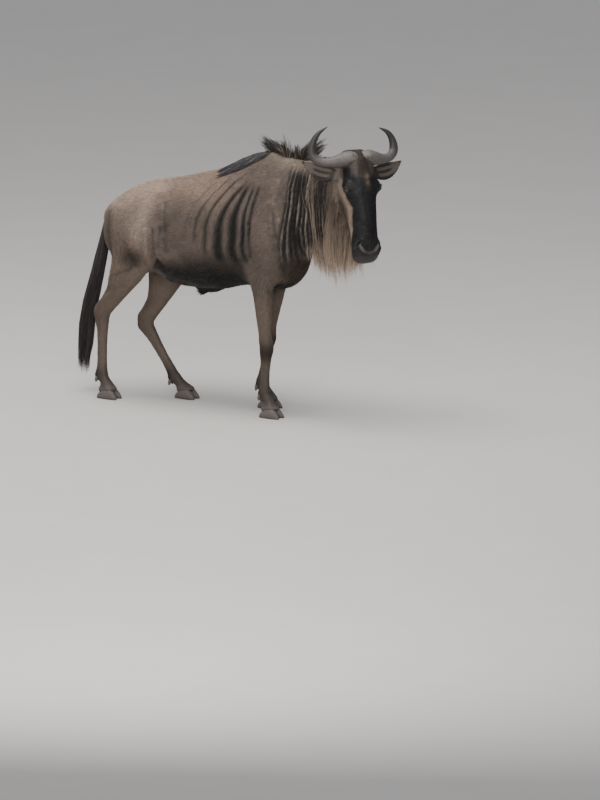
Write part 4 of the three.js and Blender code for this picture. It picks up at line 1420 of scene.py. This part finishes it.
def make_horn(name, side):
    """A horn, pitted and ridged at its base and smooth towards its tip."""
    rows = smoothed(HORN_PATH, 84)
    path = HORN_BOSS + np.outer(side * rows[:, 0] * HORN_REACH, FACE_LEFT) + np.outer(rows[:, 2], HEADING)
    path = path + np.outer(rows[:, 1] + rows[:, 5] * TIP_LIFT[side], UP)
    share = np.linspace(0, 1, len(path))
    rough = ramp(0.42, 0.12, share)
    ridged = 1 + 0.018 * ramp(0.75, 0.5, share) * np.sin(share * 150 + 2 * np.sin(share * 31))
    shape = bmesh.new()
    add_tube(shape, path, rows[:, 3] * ridged, rows[:, 4] * ridged, HEADING, sides=36)
    outward(shape)
    piece = finished(name, shape)
    mesh = piece.data
    spots = spots_of(mesh)
    nearest = np.argmin(np.linalg.norm(spots[:, None] - path[None], axis=2), axis=1)
    normals = vertex_normals(spots, triangles(mesh))
    pits = layered(spots, (15, 15, 15), 50) * 3.0 + layered(spots, (40, 9, 12), 54) * 2.2
    move_to(mesh, spots + normals * (pits * rough[nearest] - 0.6)[:, None])
    along = share[nearest]
    fine = layered(spots, (14, 14, 14), 58)
    tones = painted(
        (108, 103, 101),
        [
            ((134, 127, 121), ramp(0.36, 0.1, along) * (0.75 + 0.5 * fine)),
            # Painted shade: darker in the pits.
            ((84, 77, 72), np.clip(-pits * 0.35, 0, 1) * rough[nearest]),
            ((84, 76, 70), ramp(0.1, 0.02, along) * 0.7),
            ((62, 58, 58), ramp(0.42, 0.7, along)),
            # Painted shade on the underside and painted highlight on the top.
            ((70, 66, 64), ramp(0.2, -0.9, normals[:, 2]) * 0.55),
            ((128, 122, 118), ramp(0.4, 1.0, normals[:, 2]) * 0.3),
        ],
        len(spots),
    )
    give_tones(mesh, tones)
    return piece


# Along each half hoof from the heel: x, top, half width and squareness
CLAW_ROWS = [
    (-50, 12, 7, 0),
    (-46, 20, 11, 0),
    (-38, 29, 14, 0.2),
    (-8, 47, 18, 0.5),
    (18, 50, 18, 0.5),
    (36, 43, 16, 0.5),
    (52, 25, 11.5, 0.3),
    (60, 14, 7.5, 0.1),
    (64, 8, 4, 0),
]
CLAW_BOTTOM = -7
# Down each dewclaw: x, z, half depth and half width
DEWCLAW_ROWS = [(0, 12, 7, 8), (-6, 4, 9, 9.5), (-10, -6, 8, 9), (-13, -17, 3.5, 4.5)]
# Where the feet stand: X and Y
FOOTPRINTS = {
    "fore_right": (28, -104),
    "fore_left": (-112, 104),
    "hind_right": (-912, -102),
    "hind_left": (-590, 102),
}


def flat_soled(spots):
    """A ring of a half hoof with its lowest part pressed flat on the floor."""
    _, y, z = spots.T
    floor = 0.5 + 2.0 * ramp(14, 2, np.abs(y - y.mean()))
    return np.column_stack([spots[:, :2], np.where(z < floor, np.maximum(z, 0), z)])


def make_hooves(foot):
    """One foot's two half hooves and its two dewclaws, each with the node it stands for."""
    x, y = FOOTPRINTS[foot]
    side = math.copysign(1, y)
    pieces = []
    for half, outer in (("outer", 1), ("inner", -1)):
        splay = math.radians(4) * side * outer
        middle = np.array([x - 4, y + side * outer * 20, 0.0])
        ahead = np.array([math.cos(splay), math.sin(splay), 0])
        across = np.array([-math.sin(splay), math.cos(splay), 0])
        rows = smoothed(CLAW_ROWS, 24)
        path = middle + np.outer(rows[:, 0], ahead) + np.outer((rows[:, 1] + CLAW_BOTTOM) / 2, UP)
        half_height = (rows[:, 1] - CLAW_BOTTOM) / 2
        half_width = rows[:, 2] * (1 + 0.012 * np.sin(rows[:, 0] * 0.9))
        form = {"sides": 28, "square": 0.4, "ahead": ahead, "reshape": flat_soled}
        shape = bmesh.new()
        add_tube(shape, path, half_height, half_width, across, **form)
        bmesh.ops.remove_doubles(shape, verts=shape.verts, dist=0.00005)
        outward(shape)
        piece = finished(f"hoof_{foot}_{half}", shape)
        piece.data.set_sharp_from_angle(angle=math.radians(42))
        hoof_tones(piece.data)
        pieces.append((piece, f"foot_{foot}_{half}_hoof"))
        root = np.add(JOINTS[f"leg_{foot}"]["fetlock"], (-14, side * outer * 15, -22))
        claw = smoothed(DEWCLAW_ROWS, 10)
        shape = bmesh.new()
        path = root + np.stack([claw[:, 0], np.zeros(10), claw[:, 1]], axis=1)
        add_tube(shape, path, claw[:, 2], claw[:, 3], np.array([0.0, 1, 0]), sides=18)
        outward(shape)
        piece = finished(f"dewclaw_{foot}_{half}", shape)
        hoof_tones(piece.data)
        pieces.append((piece, f"foot_{foot}_{half}_dewclaw"))
    return pieces


def hoof_tones(mesh):
    spots = spots_of(mesh)
    grain = layered(spots, (7, 7, 26), 61)
    tones = painted(
        (112, 105, 102),
        [((78, 71, 68), ramp(16, 2, spots[:, 2]) * 0.6), ((140, 132, 128), np.maximum(grain, 0) * 0.6)],
        len(spots),
    )
    give_tones(mesh, tones)


# Half the pupil's length and height
PUPIL_HALF = (7.5, 3.4)
IRIS_RADIUS = 11.5


def make_eye(name, side):
    """An eyeball with a bulging cornea and a long, level pupil."""
    middle, gaze, corner, upward = eye_frame(side)
    shape = bmesh.new()
    bmesh.ops.create_uvsphere(shape, u_segments=64, v_segments=48, radius=EYE_RADIUS)
    turn = np.array([corner, upward * np.sign(np.cross(corner, upward) @ gaze), gaze])
    local = np.array([vert.co for vert in shape.verts])
    out = np.hypot(local[:, 0], local[:, 1])
    bulge = 1 + 0.05 * ramp(12.5, 4, out) * (local[:, 2] > 0)
    spots = middle + (local * bulge[:, None]) @ turn
    for vert, spot in zip(shape.verts, place(spots)):
        vert.co = spot
    outward(shape)
    piece = finished(name, shape)
    facing = local[:, 2] > 0
    in_pupil = np.hypot(local[:, 0] / PUPIL_HALF[0], local[:, 1] / PUPIL_HALF[1])
    pupil = facing * (np.abs(local[:, 0]) < PUPIL_HALF[0]) * ramp(1.25, 0.9, in_pupil)
    fibres = 0.5 + 0.5 * np.sin(np.arctan2(local[:, 1], local[:, 0]) * 34)
    tones = painted(
        (58, 44, 38),
        [
            ((52, 31, 20), facing * ramp(IRIS_RADIUS + 1, IRIS_RADIUS - 1, out)),
            ((74, 46, 28), facing * ramp(IRIS_RADIUS - 1, 7, out) * fibres * 0.5),
            ((8, 7, 8), pupil),
            ((14, 12, 12), facing * between(IRIS_RADIUS - 0.5, IRIS_RADIUS + 1.2, 0.6, out)),
        ],
        len(local),
    )
    give_tones(piece.data, tones)
    return piece


def make_lashes(skin):
    """The dark fringe of the upper lids."""
    roots, outs = [], []
    for side in SIDES.values():
        middle, gaze, corner, upward = eye_frame(side)
        for turn in np.linspace(math.radians(18), math.radians(162), 46):
            across = corner * math.cos(turn) * LID_LENGTH + upward * math.sin(turn) * LID_HEIGHT["upper"]
            rise = math.sqrt(max((EYE_RADIUS + 1.2) ** 2 - across @ across, 20))
            roots.append(middle + across + gaze * rise)
            outs.append(unit(gaze * 0.9 + upward * 0.28 + across * 0.02))
    roots, outs = np.array(roots), np.array(outs)
    total = len(roots)
    first = unit(outs + 0.12 * chance.normal(0, 1, (total, 3)))
    last = unit(outs * 0.7 + FACE_ALONG * 0.9)
    paths = flowing(roots, chance.uniform(8, 13, total), first, last, 6)
    tones = np.tile(np.array([26.0, 24, 24]), (total, 1))
    places = skin.places_near(roots)
    return strands("lashes", paths, np.full(total, 0.9), tones, tones, places)


# Materials


def hair_finish(name, scale, **constants):
    """A finish for hair: the piece's own tones, mottled finely, over a soft grain."""
    finish = Finish(name, **constants)
    tones = finish.attribute("tone", "Color")
    spots = finish.spots()
    fleck = finish.grain(spots, scale, 3.0, 0.6)
    patch = finish.grain(spots, 9.0, 3.0)
    lighter = finish.blend(fleck, tone(150, 150, 150), tone(255, 252, 248))
    coloured = finish.blend(0.55, tones, lighter, "MULTIPLY")
    spread = finish.blend(patch, tone(205, 202, 200), tone(255, 255, 255))
    finish.feed("Base Color", finish.blend(0.5, coloured, spread, "MULTIPLY"))
    finish.feed("Roughness", fleck * 0.25 + 0.42)
    finish.feed("Normal", finish.bump(fleck, 0.0006, 0.5))
    return finish.material


def hide_finish():
    """Skin: its own tones, a fine upright grain as of hair, and small creases."""
    finish = Finish("hide", Roughness=0.6, Specular_IOR_Level=0.4)
    tones = finish.attribute("tone", "Color")
    hairs = finish.grain(finish.spots(scale=(1, 1, 0.25)), 900, 2.0, 0.6)
    pores = finish.grain(finish.spots(), 260, 3.0, 0.55)
    darker = finish.blend(hairs, tone(170, 166, 162), tone(255, 255, 255))
    finish.feed("Base Color", finish.blend(0.7, tones, darker, "MULTIPLY"))
    finish.feed("Roughness", pores * 0.3 + 0.4)
    fine = finish.bump(hairs, 0.0006, 0.5)
    finish.feed("Normal", finish.bump(pores, 0.0012, 0.6, over=fine))
    return finish.material


def horn_finish(name, scale, roughness):
    finish = Finish(name, Roughness=roughness, Specular_IOR_Level=0.45)
    tones = finish.attribute("tone", "Color")
    spots = finish.spots()
    pits = finish.grain(spots, scale, 4.0, 0.62)
    streaks = finish.grain(spots, scale * 3.1, 3.0, 0.5)
    shade = finish.blend(pits, tone(150, 146, 142), tone(255, 255, 255))
    mottled = finish.blend(0.75, tones, shade, "MULTIPLY")
    worn = finish.blend(streaks, tone(190, 186, 182), tone(255, 255, 255))
    finish.feed("Base Color", finish.blend(0.5, mottled, worn, "MULTIPLY"))
    finish.feed("Roughness", streaks * 0.3 + (roughness - 0.12))
    deep = finish.bump(pits, 0.0022, 0.6)
    finish.feed("Normal", finish.bump(streaks, 0.0008, 0.5, over=deep))
    return finish.material


def eye_finish():
    finish = Finish("eye", Roughness=0.16, Coat_Weight=0.3, Coat_Roughness=0.1)
    tones = finish.attribute("tone", "Color")
    cloud = finish.grain(finish.spots(), 500, 2.0)
    shade = finish.blend(cloud, tone(160, 160, 160), tone(255, 255, 255))
    finish.feed("Base Color", finish.blend(0.3, tones, shade, "MULTIPLY"))
    return finish.material


def dress(piece, material, slot, *nodes):
    piece.data.materials.clear()
    piece.data.materials.append(material)
    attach(piece, "root")
    if nodes:
        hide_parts(*nodes)


def unwrap(piece):
    """An unwrap of the skin's own shape, which the coat's tufts share."""
    bpy.context.view_layer.objects.active = piece
    piece.select_set(True)
    bpy.ops.object.mode_set(mode="EDIT")
    bpy.ops.mesh.select_all(action="SELECT")
    bpy.ops.uv.smart_project(angle_limit=1.15, island_margin=0.001)
    bpy.ops.object.mode_set(mode="OBJECT")
    piece.select_set(False)
    piece.data.uv_layers[0].name = "OFBake"


COAT_TUFTS = 190000
MANE_STRANDS = 3600
BEARD_STRANDS = 3200
THROAT_STRANDS = 2400
TAIL_STRANDS = 3000

hide = hide_finish()
fur = hair_finish("fur", 420, Specular_IOR_Level=0.2, Sheen_Weight=0.04, Sheen_Roughness=0.5)
dark_hair = hair_finish("dark_hair", 300, Specular_IOR_Level=0.5)
pale_hair = hair_finish("pale_hair", 300, Specular_IOR_Level=0.45)
horn = horn_finish("horn", 70, 0.5)
hoof = horn_finish("hoof", 120, 0.58)
eye = eye_finish()

skin_piece = make_skin()
unwrap(skin_piece)
skin = Skin(skin_piece)
give_tones(skin_piece.data, coat_tones(skin.spots) * ROOT_SHADE)
dress(skin_piece, hide, "hide", *FLESH, "ear_right", "ear_left")

for piece in make_coat(skin, COAT_TUFTS):
    dress(piece, fur, "hide")
dress(make_mane(skin, MANE_STRANDS), dark_hair, "dark_hair", "mane")
dress(make_beard(skin, BEARD_STRANDS), pale_hair, "pale_hair", "beard")
dress(make_throat_hair(skin, THROAT_STRANDS), pale_hair, "pale_hair")
dress(make_tail(skin, TAIL_STRANDS), dark_hair, "dark_hair", "tail_hair")
dress(make_lashes(skin), dark_hair, "dark_hair")
for name, side in SIDES.items():
    dress(make_horn(f"horn_shell_{name}", side), horn, "horn", f"horn_{name}")
    dress(make_eye(f"eyeball_{name}", side), eye, "eye", f"eye_{name}")
for foot in FOOTPRINTS:
    for piece, node in make_hooves(foot):
        dress(piece, hoof, "hoof", node)

# Camera, light and floor

VIEW_ACROSS = np.array([0.848048, 0.529919, 0.0])
VIEW_UP = np.array([-0.101113, 0.161814, 0.981627])
VIEW_BACK = np.cross(VIEW_ACROSS, VIEW_UP)
VIEW_CENTRE = (110.3, 66.9)
CAMERA_AWAY = 90.0
LENS = 829.8
FLOOR_HALF = 30.0


def turned(across, up, back, spot):
    """A placing matrix from three axes and a spot in metres."""
    axes = Matrix((across, up, back)).transposed().to_4x4()
    return Matrix.Translation(Vector(spot)) @ axes


def add_camera():
    camera = bpy.data.objects.new("camera", bpy.data.cameras.new("camera"))
    target = VIEW_ACROSS * VIEW_CENTRE[0] + VIEW_UP * VIEW_CENTRE[1]
    spot = place(target) + VIEW_BACK * CAMERA_AWAY
    camera.matrix_world = turned(VIEW_ACROSS, VIEW_UP, VIEW_BACK, spot)
    camera.data.lens = LENS
    camera.data.clip_end = 400
    bpy.context.scene.collection.objects.link(camera)
    bpy.context.scene.camera = camera


def add_light(name, spot, aim, size, power, colour):
    lamp = bpy.data.lights.new(name, "AREA")
    lamp.shape = "DISK"
    lamp.size = size
    lamp.energy = power
    lamp.color = colour
    light = bpy.data.objects.new(name, lamp)
    light.location = spot
    light.rotation_euler = (Vector(spot) - Vector(aim)).to_track_quat("Z", "Y").to_euler()
    bpy.context.scene.collection.objects.link(light)


def add_floor():
    shape = bmesh.new()
    bmesh.ops.create_grid(shape, x_segments=2, y_segments=2, size=FLOOR_HALF)
    floor = finished("floor", shape, smooth=False)
    finish = Finish("floor", Roughness=0.85, Specular_IOR_Level=0.2)
    cloud = finish.grain(finish.spots(), 3.0, 3.0)
    finish.feed("Base Color", finish.blend(cloud, tone(205, 201, 195), tone(212, 208, 203)))
    floor.data.materials.append(finish.material)


def add_world():
    world = bpy.data.worlds.new("studio")
    world.use_nodes = True
    background = world.node_tree.nodes["Background"]
    background.inputs["Color"].default_value = (0.9, 0.93, 1.0, 1.0)
    background.inputs["Strength"].default_value = 0.5
    bpy.context.scene.world = world


add_camera()
add_world()
add_floor()
add_light("overhead", (-0.6, -1.2, 6.5), (0, 0, 0.8), 5.0, 430, (1.0, 0.97, 0.93))
add_light("front", (3.2, -6.5, 3.4), (0, 0, 0.8), 3.5, 260, (1.0, 0.97, 0.94))
